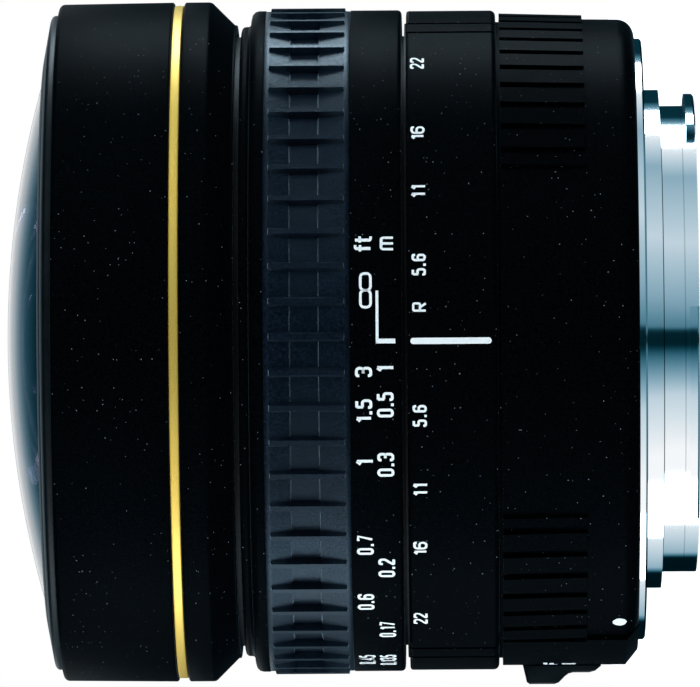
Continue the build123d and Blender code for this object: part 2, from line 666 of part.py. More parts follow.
def pad_groove_azimuths():
    """Azimuths of the finger grooves of every pad."""
    azimuths = []
    for start, arc, first_groove in PADS:
        grooves = int((start + arc - first_groove) / PAD_GROOVE_PITCH) + 1
        azimuths += [first_groove + i * PAD_GROOVE_PITCH for i in range(grooves)]
    return azimuths


def circuit_board():
    """Ring-shaped board on the main barrel's base ring, with its screw holes."""
    board = tube(BOARD_R, BOARD_BORE_R, BASE_RING_TOP, BASE_RING_TOP + BOARD_T)
    hole = rod(SCREW_R, 0, BOARD_T)
    return board - placed(hole, BOARD_SCREW_PCR, BOARD_SCREW_AZ, BASE_RING_TOP)


def pan_screw(length):
    """Pan-head screw pointing down, with the seat of its head at z = 0."""
    return rod(SCREW_HEAD_R, 0, SCREW_HEAD_H) + rod(SCREW_R, -length, 0)


def barrel_screws():
    """Pan-head screws of the circuit board, the gear plate and the guide tube's flange."""
    board = placed(pan_screw(SMALL_SCREW_L), BOARD_SCREW_PCR, BOARD_SCREW_AZ, BASE_RING_TOP + BOARD_T)
    plate = placed(pan_screw(GEAR_PLATE_T + LEDGE_T), LEDGE_SCREW_PCR, PLATE_SCREW_AZ, GEAR_PLATE_TOP)
    flange = placed(pan_screw(GUIDE_FLANGE_T + LEDGE_T), LEDGE_SCREW_PCR, GUIDE_SCREW_AZ,
                    GUIDE_FLANGE_Z + GUIDE_FLANGE_T)
    return group(board + plate + flange)


# Fixed barrel

def main_barrel():
    """Fixed tube with base ring, two inner ledges, the key slots and the switch pocket."""
    base_bottom = MOUNT_T
    spigot_top = REAR_BODY_Z1 + REAR_SPIGOT_H
    barrel = revolved([
        (BASE_RING_BORE_R, base_bottom), (REAR_BORE_R - SLIP, base_bottom),
        (REAR_BORE_R - SLIP, spigot_top + SLIP), (SCALE_BORE_R - SLIP, spigot_top + SLIP),
        (SCALE_BORE_R - SLIP, COLLAR_Z0), (COLLAR_R, COLLAR_Z0), (COLLAR_R, COLLAR_Z1),
        (BARREL_R, COLLAR_Z1), (BARREL_R, BARREL_TOP), (BARREL_BORE_R, BARREL_TOP),
        (BARREL_BORE_R, GUIDE_FLANGE_Z), (LEDGE_BORE_R, GUIDE_FLANGE_Z),
        (LEDGE_BORE_R, GUIDE_FLANGE_Z - LEDGE_T), (BARREL_BORE_R, GUIDE_FLANGE_Z - LEDGE_T),
        (BARREL_BORE_R, GEAR_PLATE_Z), (LEDGE_BORE_R, GEAR_PLATE_Z),
        (LEDGE_BORE_R, GEAR_PLATE_Z - LEDGE_T), (BARREL_REAR_BORE_R, GEAR_PLATE_Z - LEDGE_T),
        (BARREL_REAR_BORE_R, BASE_RING_TOP), (BASE_RING_BORE_R, BASE_RING_TOP),
    ])
    key_side = degrees((KEY_W / 2 + PART_GAP) / BARREL_BORE_R)
    for azimuth in KEY_AZ:
        barrel -= revolved(
            [(BARREL_BORE_R - PART_GAP, KEY_Z0 - PART_GAP), (BARREL_R + PART_GAP, KEY_Z0 - PART_GAP),
             (BARREL_R + PART_GAP, KEY_Z0 + KEY_H + PART_GAP),
             (BARREL_BORE_R - PART_GAP, KEY_Z0 + KEY_H + PART_GAP)],
            azimuth - key_side, FOCUS_RANGE + 2 * key_side)
    barrel -= block(SWITCH_POCKET_R, REAR_BORE_R, SWITCH_POCKET_W, *SWITCH_POCKET_Z, PANEL_AZ)
    barrel -= placed(rod(SCREW_R, 0, SCREW_L), MOUNT_SCREW_PCR, MOUNT_SCREW_AZ, 0)
    depth = SMALL_SCREW_L - BOARD_T
    barrel -= placed(rod(SCREW_R, -depth, 0), BOARD_SCREW_PCR, BOARD_SCREW_AZ, BASE_RING_TOP)
    ledge_hole = rod(SCREW_R, -LEDGE_T, 0)
    barrel -= placed(ledge_hole, LEDGE_SCREW_PCR, PLATE_SCREW_AZ, GEAR_PLATE_Z)
    return barrel - placed(ledge_hole, LEDGE_SCREW_PCR, GUIDE_SCREW_AZ, GUIDE_FLANGE_Z)


def scale_ring():
    """Fixed outer ring that carries the index line and the depth-of-field scale."""
    spigot_top = REAR_BODY_Z1 + REAR_SPIGOT_H + SLIP
    ring = revolved([
        (REAR_SPIGOT_R + SLIP, SCALE_Z0), (SCALE_R, SCALE_Z0), (SCALE_R, SCALE_Z1),
        (COLLAR_R + SLIP, SCALE_Z1), (COLLAR_R + SLIP, COLLAR_Z0), (SCALE_BORE_R, COLLAR_Z0),
        (SCALE_BORE_R, spigot_top), (REAR_SPIGOT_R + SLIP, spigot_top),
    ])
    ring = fillet(circle_edges(ring, SCALE_R, SCALE_Z0), SCALE_REAR_EDGE)
    ring = fillet(circle_edges(ring, SCALE_R, SCALE_Z1), SCALE_FRONT_EDGE)
    for azimuth in SCALE_GROOVE_AZ:
        ring -= block(SCALE_R - SCALE_GROOVE_DEPTH, SCALE_R + PART_GAP, SCALE_GROOVE_W,
                      SCALE_Z0, SCALE_Z1, azimuth)
    return ring


def guide_tube():
    """Fixed tube with three straight slots, hung from a flange inside the main barrel."""
    flange_top = GUIDE_FLANGE_Z + GUIDE_FLANGE_T
    guide = revolved([
        (GUIDE_BORE_R, GUIDE_Z0), (GUIDE_R, GUIDE_Z0), (GUIDE_R, GUIDE_FLANGE_Z),
        (BARREL_BORE_R - SLIP, GUIDE_FLANGE_Z), (BARREL_BORE_R - SLIP, flange_top),
        (GUIDE_BORE_R, flange_top),
    ])
    half = ROLLER_R + RUN
    for azimuth in ROLLER_AZ:
        guide -= block(GUIDE_BORE_R - PART_GAP, GUIDE_R + RUN / 2, 2 * half,
                       ROLLER_Z, ROLLER_Z + FOCUS_TRAVEL, azimuth)
        for end in (ROLLER_Z, ROLLER_Z + FOCUS_TRAVEL):
            guide -= radial_rod(half, GUIDE_BORE_R - PART_GAP, GUIDE_R + RUN / 2, azimuth, end)
    hole = rod(SCREW_R, 0, GUIDE_FLANGE_T)
    return guide - placed(hole, LEDGE_SCREW_PCR, GUIDE_SCREW_AZ, GUIDE_FLANGE_Z)


def front_barrel():
    """Front shell with the seat of the front element and the groove of the gold band."""
    chamfer_r = FRONT_SKIRT_R - FRONT_CHAMFER
    chamfer_low = FRONT_CHAMFER_Z - FRONT_CHAMFER
    groove_low = BAND_Z - BAND_GROOVE_W / 2
    groove_high = BAND_Z + BAND_GROOVE_W / 2
    seat_z = glass_rim_z()
    shell = revolved([
        (BARREL_R + SLIP, FRONT_Z0), (chamfer_r, FRONT_Z0), (chamfer_r, chamfer_low),
        (FRONT_SKIRT_R, FRONT_CHAMFER_Z), (FRONT_SKIRT_R, groove_low), (BAND_SEAT_R, groove_low),
        (BAND_SEAT_R, groove_high), (FRONT_SKIRT_R, groove_high), (FRONT_R, FRONT_Z1),
        (BEZEL_SPIGOT_R + SLIP, FRONT_Z1), (BEZEL_SPIGOT_R + SLIP, FRONT_Z1 - BEZEL_SPIGOT_H),
        (FRONT_GLASS_R + SLIP, FRONT_Z1 - BEZEL_SPIGOT_H), (FRONT_GLASS_R + SLIP, seat_z),
        (FRONT_SEAT_BORE_R, seat_z), (FRONT_SEAT_BORE_R, seat_z - FRONT_SEAT_T),
        (FRONT_GLASS_R + SLIP, seat_z - FRONT_SEAT_T), (FRONT_GLASS_R + SLIP, BARREL_TOP),
        (BARREL_R + SLIP, BARREL_TOP),
    ])
    shell = fillet(circle_edges(shell, FRONT_R, FRONT_Z1), FRONT_EDGE)
    lips = circle_edges(shell, FRONT_SKIRT_R, groove_low) + circle_edges(shell, FRONT_SKIRT_R, groove_high)
    return fillet(lips, FRONT_LIP_ROUND)


def gold_band():
    """Gold-coloured ring set into the groove of the front barrel."""
    return tube(BAND_R, BAND_SEAT_R, BAND_Z - BAND_W / 2, BAND_Z + BAND_W / 2)


def front_bezel():
    """Ring that holds the front element, with a stepped face and a screwed spigot."""
    wall_top = FRONT_Z1 + BEZEL_WALL_H
    slope = (BEZEL_TOP - wall_top) / (BEZEL_R - BEZEL_LIP_R)
    lip_seat = FRONT_GLASS_STEP_Z + SLIP
    half = BEZEL_GROOVE_DEPTH / 2
    groove_z = BEZEL_TOP - slope * (BEZEL_GROOVE_R - BEZEL_LIP_R)
    return revolved([
        (BEZEL_LIP_R, lip_seat), (BEZEL_LIP_R, BEZEL_TOP),
        (BEZEL_GROOVE_R - half, groove_z + slope * half),
        (BEZEL_GROOVE_R - half / 2, groove_z - BEZEL_GROOVE_DEPTH),
        (BEZEL_GROOVE_R + half / 2, groove_z - BEZEL_GROOVE_DEPTH),
        (BEZEL_GROOVE_R + half, groove_z - slope * half), (BEZEL_R - half, wall_top + slope * half),
        (BEZEL_R, wall_top - half), (BEZEL_R, FRONT_Z1), (BEZEL_SPIGOT_R, FRONT_Z1),
        (BEZEL_SPIGOT_R, FRONT_Z1 - BEZEL_SPIGOT_H),
        (FRONT_GLASS_R + SLIP, FRONT_Z1 - BEZEL_SPIGOT_H), (FRONT_GLASS_R + SLIP, lip_seat),
    ])


# Glass

def glass_edge_z():
    """Height of the front element's dome at its clear edge."""
    return FRONT_GLASS_STEP_Z + FRONT_GLASS_STEP_H


def glass_rim_z():
    """Height of the flat rim behind the front element."""
    return glass_edge_z() + FRONT_GLASS_DOME_H - FRONT_GLASS_T - FRONT_GLASS_BOWL_H


def cap_arc(apex, radius, height):
    """Arc from the axis to a radius, over a spherical cap of this height."""
    middle = apex - sag(cap_curve(height, radius), radius / 2)
    return ThreePointArc((0, 0, apex), (radius / 2, 0, middle), (radius, 0, apex - height))


def front_element():
    """Large negative meniscus with a ground ledge for the front ring."""
    clear = FRONT_GLASS_CLEAR_R
    rear = FRONT_GLASS_REAR_CLEAR_R
    rim = glass_rim_z()
    front_apex = glass_edge_z() + FRONT_GLASS_DOME_H
    rear_apex = front_apex - FRONT_GLASS_T
    lines = cap_arc(front_apex, clear, FRONT_GLASS_DOME_H)
    lines += Polyline(
        (clear, 0, glass_edge_z()), (clear, 0, FRONT_GLASS_STEP_Z),
        (FRONT_GLASS_R, 0, FRONT_GLASS_STEP_Z), (FRONT_GLASS_R, 0, rim), (rear, 0, rim))
    lines += cap_arc(rear_apex, rear, FRONT_GLASS_BOWL_H)
    lines += Line((0, 0, rear_apex), (0, 0, front_apex))
    return revolve(make_face(lines), Axis.Z)


def second_element():
    """Negative meniscus at the front of the focusing cell."""
    return lens(*SECOND_SURFACES, SECOND_R, SECOND_REAR_CLEAR_R)


def third_element():
    """Biconcave element of the front doublet, with a flat rim outside the cemented face."""
    return lens(*THIRD_SURFACES, THIRD_R, FOURTH_R)


def fourth_element():
    """Biconvex element cemented behind the third."""
    return lens(*FOURTH_SURFACES, FOURTH_R)


def cemented(heights, curves, edge, index):
    """One element of a cemented group, counted from the front."""
    return lens(heights[index], curves[index], heights[index + 1], curves[index + 1], edge)


# Focusing cell

def surface_edge(surfaces, edge, rear=False):
    """Height of an element's front or rear surface at a radius."""
    vertex, curve = (surfaces[2], surfaces[3]) if rear else (surfaces[0], surfaces[1])
    return vertex - sag(curve, edge)


def ring_on_glass(vertex, curve, outer, inner, far_z):
    """Retaining ring whose one face lies on a spherical surface and whose other face is flat."""
    side = TOUCH if far_z > vertex - sag(curve, outer) else -TOUCH
    return revolved([
        (inner, vertex - sag(curve, inner) + side), (outer, vertex - sag(curve, outer) + side),
        (outer, far_z), (inner, far_z),
    ])


def cell_barrel():
    """Sliding lens barrel with the seats of the second element and of the front doublet."""
    second_seat = surface_edge(SECOND_SURFACES, SECOND_REAR_CLEAR_R, rear=True)
    doublet_seat = surface_edge(THIRD_SURFACES, FOURTH_R, rear=True)
    base_top = BASE_PLATE_Z + BASE_PLATE_T
    cone_r = SECOND_REAR_CLEAR_R + CELL_CONE_H
    barrel = revolved([
        (CELL_WALL_BORE_R, CELL_Z0), (CELL_R, CELL_Z0), (CELL_R, CELL_SHOULDER_Z),
        (CELL_NOSE_R, CELL_SHOULDER_Z), (CELL_NOSE_R, CELL_TOP), (SECOND_R + SLIP, CELL_TOP),
        (SECOND_R + SLIP, second_seat), (cone_r, second_seat),
        (THIRD_R + SLIP, second_seat - CELL_CONE_H), (THIRD_R + SLIP, doublet_seat),
        (FOURTH_R + SLIP, doublet_seat), (FOURTH_R + SLIP, CELL_ROOM_TOP),
        (CELL_ROOM_R, CELL_ROOM_TOP), (CELL_ROOM_R, base_top), (CELL_WALL_BORE_R, base_top),
    ])
    for azimuth in ROLLER_AZ:
        barrel -= radial_rod(ROLLER_SHANK_R, CELL_ROOM_R - PART_GAP, CELL_R + PART_GAP,
                             azimuth, ROLLER_Z)
    return barrel


def second_element_ring():
    """Threaded ring that keeps the second element in its seat."""
    return ring_on_glass(
        SECOND_SURFACES[0], SECOND_SURFACES[1], SECOND_R, SECOND_R - RETAINER_W, CELL_TOP + RETAINER_W / 2)


def doublet_ring():
    """Threaded ring in front of the front doublet."""
    high = surface_edge(SECOND_SURFACES, SECOND_REAR_CLEAR_R, rear=True) - TOUCH
    return ring_on_glass(THIRD_SURFACES[0], THIRD_SURFACES[1], THIRD_R, THIRD_R - RETAINER_W, high)


def doublet_edges(heights, curves, edge):
    """Heights of the front and rear edges of a cemented doublet."""
    return heights[0] - sag(curves[0], edge), heights[2] - sag(curves[2], edge)


def rear_lens_tube():
    """Tube below the diaphragm that holds the triplet and the two rear doublets."""
    triplet_rear = TRIPLET_Z[3] - sag(TRIPLET_CURVES[3], TRIPLET_R)
    eighth_front, eighth_rear = doublet_edges(EIGHTH_Z, EIGHTH_CURVES, EIGHTH_R)
    tenth_front, tenth_rear = doublet_edges(TENTH_Z, TENTH_CURVES, TENTH_R)
    step_z = (tenth_front + eighth_rear) / 2
    flange_z = BASE_PLATE_Z - REAR_TUBE_FLANGE_T
    lip_r = TRIPLET_R - RETAINER_W / 2
    lip_front = TRIPLET_Z[3] - sag(TRIPLET_CURVES[3], lip_r) - TOUCH
    lip_rear = EIGHTH_Z[0] - sag(EIGHTH_CURVES[0], lip_r) + TOUCH
    return revolved([
        (TRIPLET_R + SLIP, BASE_PLATE_Z), (REAR_TUBE_FLANGE_R, BASE_PLATE_Z),
        (REAR_TUBE_FLANGE_R, flange_z), (REAR_TUBE_R, flange_z), (REAR_TUBE_R, REAR_TUBE_Z0),
        (TENTH_R + SLIP, REAR_TUBE_Z0), (TENTH_R + SLIP, step_z), (EIGHTH_R + SLIP, step_z),
        (EIGHTH_R + SLIP, eighth_front + TOUCH), (lip_r, lip_rear), (lip_r, lip_front),
        (TRIPLET_R + SLIP, triplet_rear - TOUCH),
    ])


def triplet_ring():
    """Threaded ring in front of the triplet."""
    return ring_on_glass(TRIPLET_Z[0], TRIPLET_CURVES[0], TRIPLET_R, TRIPLET_R - RETAINER_W, BASE_PLATE_Z)


def rear_spacer():
    """Stepped spacer between the two rear doublets."""
    eighth_rear = doublet_edges(EIGHTH_Z, EIGHTH_CURVES, EIGHTH_R)[1]
    tenth_front = doublet_edges(TENTH_Z, TENTH_CURVES, TENTH_R)[0]
    step_z = (tenth_front + eighth_rear) / 2
    inner = EIGHTH_R - RETAINER_W / 2
    inner_low = TENTH_Z[0] - sag(TENTH_CURVES[0], inner) + TOUCH
    inner_high = EIGHTH_Z[2] - sag(EIGHTH_CURVES[2], inner) - TOUCH
    return revolved([
        (inner, inner_low), (TENTH_R, tenth_front + TOUCH), (TENTH_R, step_z - TOUCH),
        (EIGHTH_R, step_z - TOUCH), (EIGHTH_R, eighth_rear - TOUCH), (inner, inner_high),
    ])


def rear_ring():
    """Threaded ring behind the rearmost doublet."""
    return ring_on_glass(TENTH_Z[2], TENTH_CURVES[2], TENTH_R, TENTH_R - RETAINER_W, REAR_TUBE_Z0)


def cam_rollers():
    """Three rollers that follow the straight and the helical slots."""
    rollers = []
    for azimuth in ROLLER_AZ:
        roller = radial_rod(ROLLER_R, CELL_R, CAM_R - RUN, azimuth, ROLLER_Z)
        rollers.append(roller + radial_rod(ROLLER_SHANK_R, CELL_ROOM_R, CELL_R, azimuth, ROLLER_Z))
    return group(rollers)


# Cam tube and its drive

def cam_slot(azimuth):
    """Cutter for one helical slot, which starts at the roller and climbs against the turn."""
    half = ROLLER_R + RUN
    middle_r = (CAM_BORE_R + CAM_R) / 2
    depth = CAM_WALL + 2 * PART_GAP
    pitch = FOCUS_TRAVEL * 360 / FOCUS_RANGE
    path = Helix(pitch, FOCUS_TRAVEL, middle_r, center=(0, 0, ROLLER_Z), lefthand=True)
    across = Plane(origin=path @ 0, x_dir=(1, 0, 0), z_dir=path % 0)
    section = across * Rectangle(depth, 2 * half)
    cutter = sweep(section, path, is_frenet=True)
    for turn, climb in ((0, 0), (-FOCUS_RANGE, FOCUS_TRAVEL)):
        cutter += radial_rod(half, middle_r - depth / 2, middle_r + depth / 2, turn, ROLLER_Z + climb)
    return cutter.rotate(Axis.Z, azimuth)


def cam_tube():
    """Turning tube around the guide tube, with three helical slots and two key notches."""
    cam = tube(CAM_R, CAM_BORE_R, RING_GEAR_Z, CAM_TOP)
    for azimuth in ROLLER_AZ:
        cam -= cam_slot(azimuth)
    for azimuth in KEY_AZ:
        cam -= block(CAM_R - KEY_DEPTH, CAM_R + PART_GAP, KEY_W, KEY_Z0, KEY_Z0 + KEY_H, azimuth)
    return cam


def focus_keys():
    """Two keys that join the focus ring to the cam tube through the main barrel."""
    shape = [block(CAM_R - KEY_DEPTH + TOUCH, FOCUS_INNER_R - TOUCH, KEY_W, KEY_Z0, KEY_Z0 + KEY_H, azimuth)
             for azimuth in KEY_AZ]
    bore = tube(FOCUS_INNER_R - TOUCH, CAM_BORE_R, KEY_Z0, KEY_Z0 + KEY_H)
    return group([key & bore for key in shape])


def ring_gear():
    """Internal gear pressed into the rear end of the cam tube."""
    bore_r = RING_PITCH_R - ADDENDUM * RING_MODULE
    outer_r = CAM_BORE_R - TOUCH
    blank = tube(outer_r, bore_r, RING_GEAR_Z, RING_GEAR_Z + RING_GEAR_H)
    spaces = gear_face(RING_MODULE, RING_TEETH, DEDENDUM, ADDENDUM + DEDENDUM, -BACKLASH)
    cutter = extrude(spaces, RING_GEAR_H).rotate(Axis.Z, OUTPUT_AZ)
    return blank - Pos(0, 0, RING_GEAR_Z) * cutter


def focus_ring():
    """Outer ring turned by hand, with the seat of the grip and two running lands inside."""
    land_r = BARREL_R + RUN
    rear_land_0, rear_land_1, front_land = FOCUS_LAND_Z
    ease = PART_GAP
    ring = revolved([
        (FOCUS_INNER_R, FOCUS_Z0), (FOCUS_R, FOCUS_Z0), (FOCUS_R, GRIP_Z0), (GRIP_SEAT_R, GRIP_Z0),
        (GRIP_SEAT_R, GRIP_Z1), (FOCUS_R, GRIP_Z1), (FOCUS_R, FOCUS_NOSE_Z),
        (FOCUS_NOSE_R + ease, FOCUS_NOSE_Z), (FOCUS_NOSE_R, FOCUS_NOSE_Z + ease),
        (FOCUS_NOSE_R, FOCUS_Z1), (land_r, FOCUS_Z1), (land_r, front_land),
        (FOCUS_INNER_R, front_land - ease), (FOCUS_INNER_R, rear_land_1 + ease),
        (land_r, rear_land_1), (land_r, rear_land_0), (FOCUS_INNER_R, rear_land_0 - ease),
    ])
    ring = fillet(circle_edges(ring, FOCUS_R, FOCUS_NOSE_Z), FOCUS_FRONT_ROUND)
    return fillet(circle_edges(ring, FOCUS_R, FOCUS_Z0), FOCUS_REAR_EDGE)


def rubber_grip():
    """Rubber sleeve with evenly spaced ribs over a floor that is deepest in its middle third."""
    seam_0, seam_1 = GRIP_SEAM_Z
    rib_0 = GRIP_Z0 + GRIP_RIB_MARGIN
    rib_1 = GRIP_Z1 - GRIP_RIB_MARGIN
    sleeve = revolved([
        (GRIP_SEAT_R, GRIP_Z0), (GRIP_R, GRIP_Z0), (GRIP_R, rib_0), (GRIP_FLOOR_R, seam_0),
        (GRIP_POCKET_R, seam_0), (GRIP_POCKET_R, seam_1), (GRIP_FLOOR_R, seam_1),
        (GRIP_R, rib_1), (GRIP_R, GRIP_Z1), (GRIP_SEAT_R, GRIP_Z1),
    ])
    half_arc = degrees(GRIP_RIB_W / 2 / GRIP_RIB_R)
    inner = (GRIP_SEAT_R + GRIP_POCKET_R) / 2
    outline = [(inner, rib_0), (GRIP_RIB_R, rib_0), (GRIP_RIB_R, rib_1), (inner, rib_1)]
    rib = revolved(outline, -half_arc, 2 * half_arc)
    ribs = [rib.rotate(Axis.Z, 360 * i / GRIP_RIBS) for i in range(GRIP_RIBS)]
    return sleeve.fuse(*ribs)


# Focus motor and gear train

def train_points():
    """Plan positions of the output gear, the reduction gear and the motor."""
    return [plan(OUTPUT_PCR, azimuth) for azimuth in (OUTPUT_AZ, REDUCTION_AZ, MOTOR_AZ)]


def gear_plate():
    """Part-ring plate that carries the axles and the motor."""
    arc_start = OUTPUT_AZ - TRAIN_STEP_AZ
    arc = 4 * TRAIN_STEP_AZ
    inner = OUTPUT_PCR - MOTOR_R + GEAR_PLATE_RIM
    plate = revolved([
        (inner, GEAR_PLATE_Z), (BARREL_BORE_R - SLIP, GEAR_PLATE_Z),
        (BARREL_BORE_R - SLIP, GEAR_PLATE_TOP), (inner, GEAR_PLATE_TOP),
    ], arc_start, arc)
    output, reduction, motor = train_points()
    for axle in (output, reduction):
        plate -= rod(AXLE_R, GEAR_PLATE_Z, GEAR_PLATE_TOP, *axle)
    plate -= rod(MOTOR_SHAFT_R + PART_GAP, GEAR_PLATE_Z, GEAR_PLATE_TOP, *motor)
    return plate - placed(rod(SCREW_R, 0, GEAR_PLATE_T), LEDGE_SCREW_PCR, PLATE_SCREW_AZ, GEAR_PLATE_Z)


def gear_axles():
    """Two steel pins that the gears turn on."""
    reduction_top = GEAR_LEVEL_2 + GEAR_T + GEAR_LEVEL_GAP / 2
    output, reduction = train_points()[:2]
    return group([
        rod(AXLE_R, GEAR_PLATE_Z, RING_GEAR_Z + RING_GEAR_H, *output),
        rod(AXLE_R, GEAR_PLATE_Z, reduction_top, *reduction),
    ])


def output_gear():
    """Compound gear whose pinion drives the ring gear."""
    output, reduction = train_points()[:2]
    hub = rod(AXLE_R + GEAR_HUB_WALL, GEAR_LEVEL_1, GEAR_LEVEL_2)
    wheel_phase = facing(output, reduction)
    wheel = Pos(0, 0, GEAR_LEVEL_2) * gear(TRAIN_MODULE, WHEEL_TEETH, GEAR_T, wheel_phase)
    pinion_z = GEAR_LEVEL_2 + GEAR_T
    pinion = Pos(0, 0, pinion_z) * gear(
        RING_MODULE, OUTPUT_PINION_TEETH, GEAR_LEVEL_GAP + RING_GEAR_H, OUTPUT_AZ)
    bore = rod(AXLE_R + RUN, GEAR_LEVEL_1, pinion_z + GEAR_LEVEL_GAP + RING_GEAR_H)
    return Pos(*output) * (hub + wheel + pinion - bore)


def reduction_gear():
    """Compound gear between the motor pinion and the output gear."""
    output, reduction, motor = train_points()
    wheel_phase = facing(reduction, motor)
    wheel = Pos(0, 0, GEAR_LEVEL_1) * gear(TRAIN_MODULE, WHEEL_TEETH, GEAR_T, wheel_phase)
    half_tooth = 180 / TRAIN_PINION_TEETH
    pinion_phase = facing(reduction, output) + half_tooth
    pinion_z = GEAR_LEVEL_1 + GEAR_T
    pinion = Pos(0, 0, pinion_z) * gear(
        TRAIN_MODULE, TRAIN_PINION_TEETH, GEAR_LEVEL_GAP + GEAR_T, pinion_phase)
    bore = rod(AXLE_R + RUN, GEAR_LEVEL_1, pinion_z + GEAR_LEVEL_GAP + GEAR_T)
    return Pos(*reduction) * (wheel + pinion - bore)


def motor_pinion():
    """Pinion on the motor's shaft."""
    reduction, motor = train_points()[1:]
    phase = facing(motor, reduction) + 180 / TRAIN_PINION_TEETH
    pinion = Pos(0, 0, GEAR_LEVEL_1) * gear(TRAIN_MODULE, TRAIN_PINION_TEETH, GEAR_T, phase)
    shaft = rod(MOTOR_SHAFT_R, GEAR_PLATE_Z - MOTOR_L / 2, GEAR_LEVEL_1 + GEAR_T + RUN)
    return Pos(*motor) * (pinion + shaft)


def focus_motor():
    """Small direct-current motor with two flats on its can."""
    top = GEAR_PLATE_Z
    can = rod(MOTOR_R, top - MOTOR_L, top) & Pos(0, 0, top - MOTOR_L / 2) * Box(
        2 * MOTOR_R, MOTOR_FLAT, MOTOR_L)
    can += rod(MOTOR_BOSS_R, top - MOTOR_L - MOTOR_BOSS_H, top - MOTOR_L)
    can -= rod(MOTOR_SHAFT_R + RUN, top - MOTOR_L / 2 - RUN, top)
    return Pos(*train_points()[2]) * can.rotate(Axis.Z, MOTOR_AZ + 90)


# Diaphragm

def rotated_about(point, centre, angle):
    """Plan point turned about another by an angle in degrees."""
    dx = point[0] - centre[0]
    dy = point[1] - centre[1]
    c = cos(radians(angle))
    s = sin(radians(angle))
    return (centre[0] + c * dx - s * dy, centre[1] + s * dx + c * dy)


def drive_pin_at(share):
    """Drive pin of the first blade in the iris ring's own frame at a share of its turn."""
    pivot = (PIVOT_PCR, 0)
    pin = plan(DRIVE_PCR, DRIVE_AZ)
    swung = rotated_about(pin, pivot, BLADE_SWING * share)
    return rotated_about(swung, (0, 0), -APERTURE_RANGE * share)


def blade(index):
    """One iris blade with a pivot pin below it and a drive pin above it."""
    low = BLADE_Z0 + index * BLADE_STEP
    start, end = BLADE_ARC
    leaf = revolved([
        (BLADE_INNER_R, low), (BLADE_OUTER_R, low), (BLADE_OUTER_R, low + BLADE_T),
        (BLADE_INNER_R, low + BLADE_T),
    ], start, end - start)
    pivot = (PIVOT_PCR, 0)
    pin = plan(DRIVE_PCR, DRIVE_AZ)
    root = ((BLADE_INNER_R + BLADE_OUTER_R) / 2 + EAR_R, 0)
    corners = Sketch() + [Pos(*centre) * Circle(EAR_R) for centre in (pivot, pin, root)]
    ear = make_hull(corners.edges())
    leaf += Pos(0, 0, low) * extrude(ear, BLADE_T)
    leaf += rod(PIVOT_R, BASE_PLATE_Z, low, *pivot)
    leaf += rod(DRIVE_R, low + BLADE_T, IRIS_RING_Z + IRIS_RING_T, *pin)
    return leaf.rotate(Axis.Z, 360 * index / BLADES)


def iris_slot():
    """Cutter for one curved slot of the iris ring, along the path of the drive pin."""
    half = DRIVE_R + RUN
    points = [drive_pin_at(share) for share in (0, 0.5, 1)]
    path = ThreePointArc(*points)
    slot = trace(path, 2 * half)
    slot += [Pos(*point) * Circle(half) for point in (points[0], points[2])]
    return Pos(0, 0, IRIS_RING_Z) * extrude(slot, IRIS_RING_T)


def iris_ring():
    """Turning ring with six curved slots and a toothed sector on its rim."""
    ring = tube(IRIS_RING_R, IRIS_RING_BORE_R, IRIS_RING_Z, IRIS_RING_Z + IRIS_RING_T)
    teeth = Pos(0, 0, IRIS_RING_Z) * gear(IRIS_MODULE, IRIS_SECTOR_TEETH, IRIS_RING_T, IRIS_MOTOR_AZ)
    tip_r = IRIS_SECTOR_R + IRIS_MODULE
    inner_r = IRIS_RING_R - IRIS_SECTOR_ROOT
    sector_start = IRIS_MOTOR_AZ - APERTURE_RANGE - (IRIS_SECTOR_ARC - APERTURE_RANGE) / 2
    sector = revolved([
        (inner_r, IRIS_RING_Z), (tip_r, IRIS_RING_Z), (tip_r, IRIS_RING_Z + IRIS_RING_T),
        (inner_r, IRIS_RING_Z + IRIS_RING_T),
    ], sector_start, IRIS_SECTOR_ARC)
    ring -= sector
    ring += teeth & sector
    for index in range(BLADES):
        ring -= iris_slot().rotate(Axis.Z, 360 * index / BLADES)
    return ring


def iris_base():
    """Base plate of the diaphragm with the blade pivots' holes and the cover's posts."""
    low = BASE_PLATE_Z
    high = BASE_PLATE_Z + BASE_PLATE_T
    plate = tube(BASE_PLATE_R, APERTURE_R, low, high)
    thread_low = IRIS_COVER_Z - SMALL_SCREW_L + COVER_T
    for azimuth in POST_AZ:
        plate += rod(POST_R, high, IRIS_COVER_Z, *plan(POST_PCR, azimuth))
        plate -= rod(SCREW_R, thread_low, IRIS_COVER_Z, *plan(POST_PCR, azimuth))
    for index in range(BLADES):
        plate -= rod(PIVOT_R + RUN, low, high, *plan(PIVOT_PCR, 360 * index / BLADES))
    return plate - rod(IRIS_SHAFT_R + RUN, low, high, *plan(IRIS_MOTOR_PCR, IRIS_MOTOR_AZ))


def iris_cover():
    """Cover of the diaphragm with the spigot that the iris ring turns on."""
    low = IRIS_COVER_Z
    spigot_r = IRIS_RING_BORE_R - RUN
    bore_r = spigot_r - IRIS_SPIGOT_WALL
    cover = revolved([
        (APERTURE_R, low + COVER_T), (COVER_R, low + COVER_T), (COVER_R, low), (spigot_r, low),
        (spigot_r, IRIS_RING_Z), (bore_r, IRIS_RING_Z), (bore_r, low),
        (APERTURE_R, low),
    ])
    return cover - placed(rod(SCREW_R, 0, COVER_T), POST_PCR, POST_AZ, low)


def iris_cover_screws():
    """Three screws of the diaphragm's cover."""
    screw = pan_screw(SMALL_SCREW_L)
    return group(placed(screw, POST_PCR, POST_AZ, IRIS_COVER_Z + COVER_T))


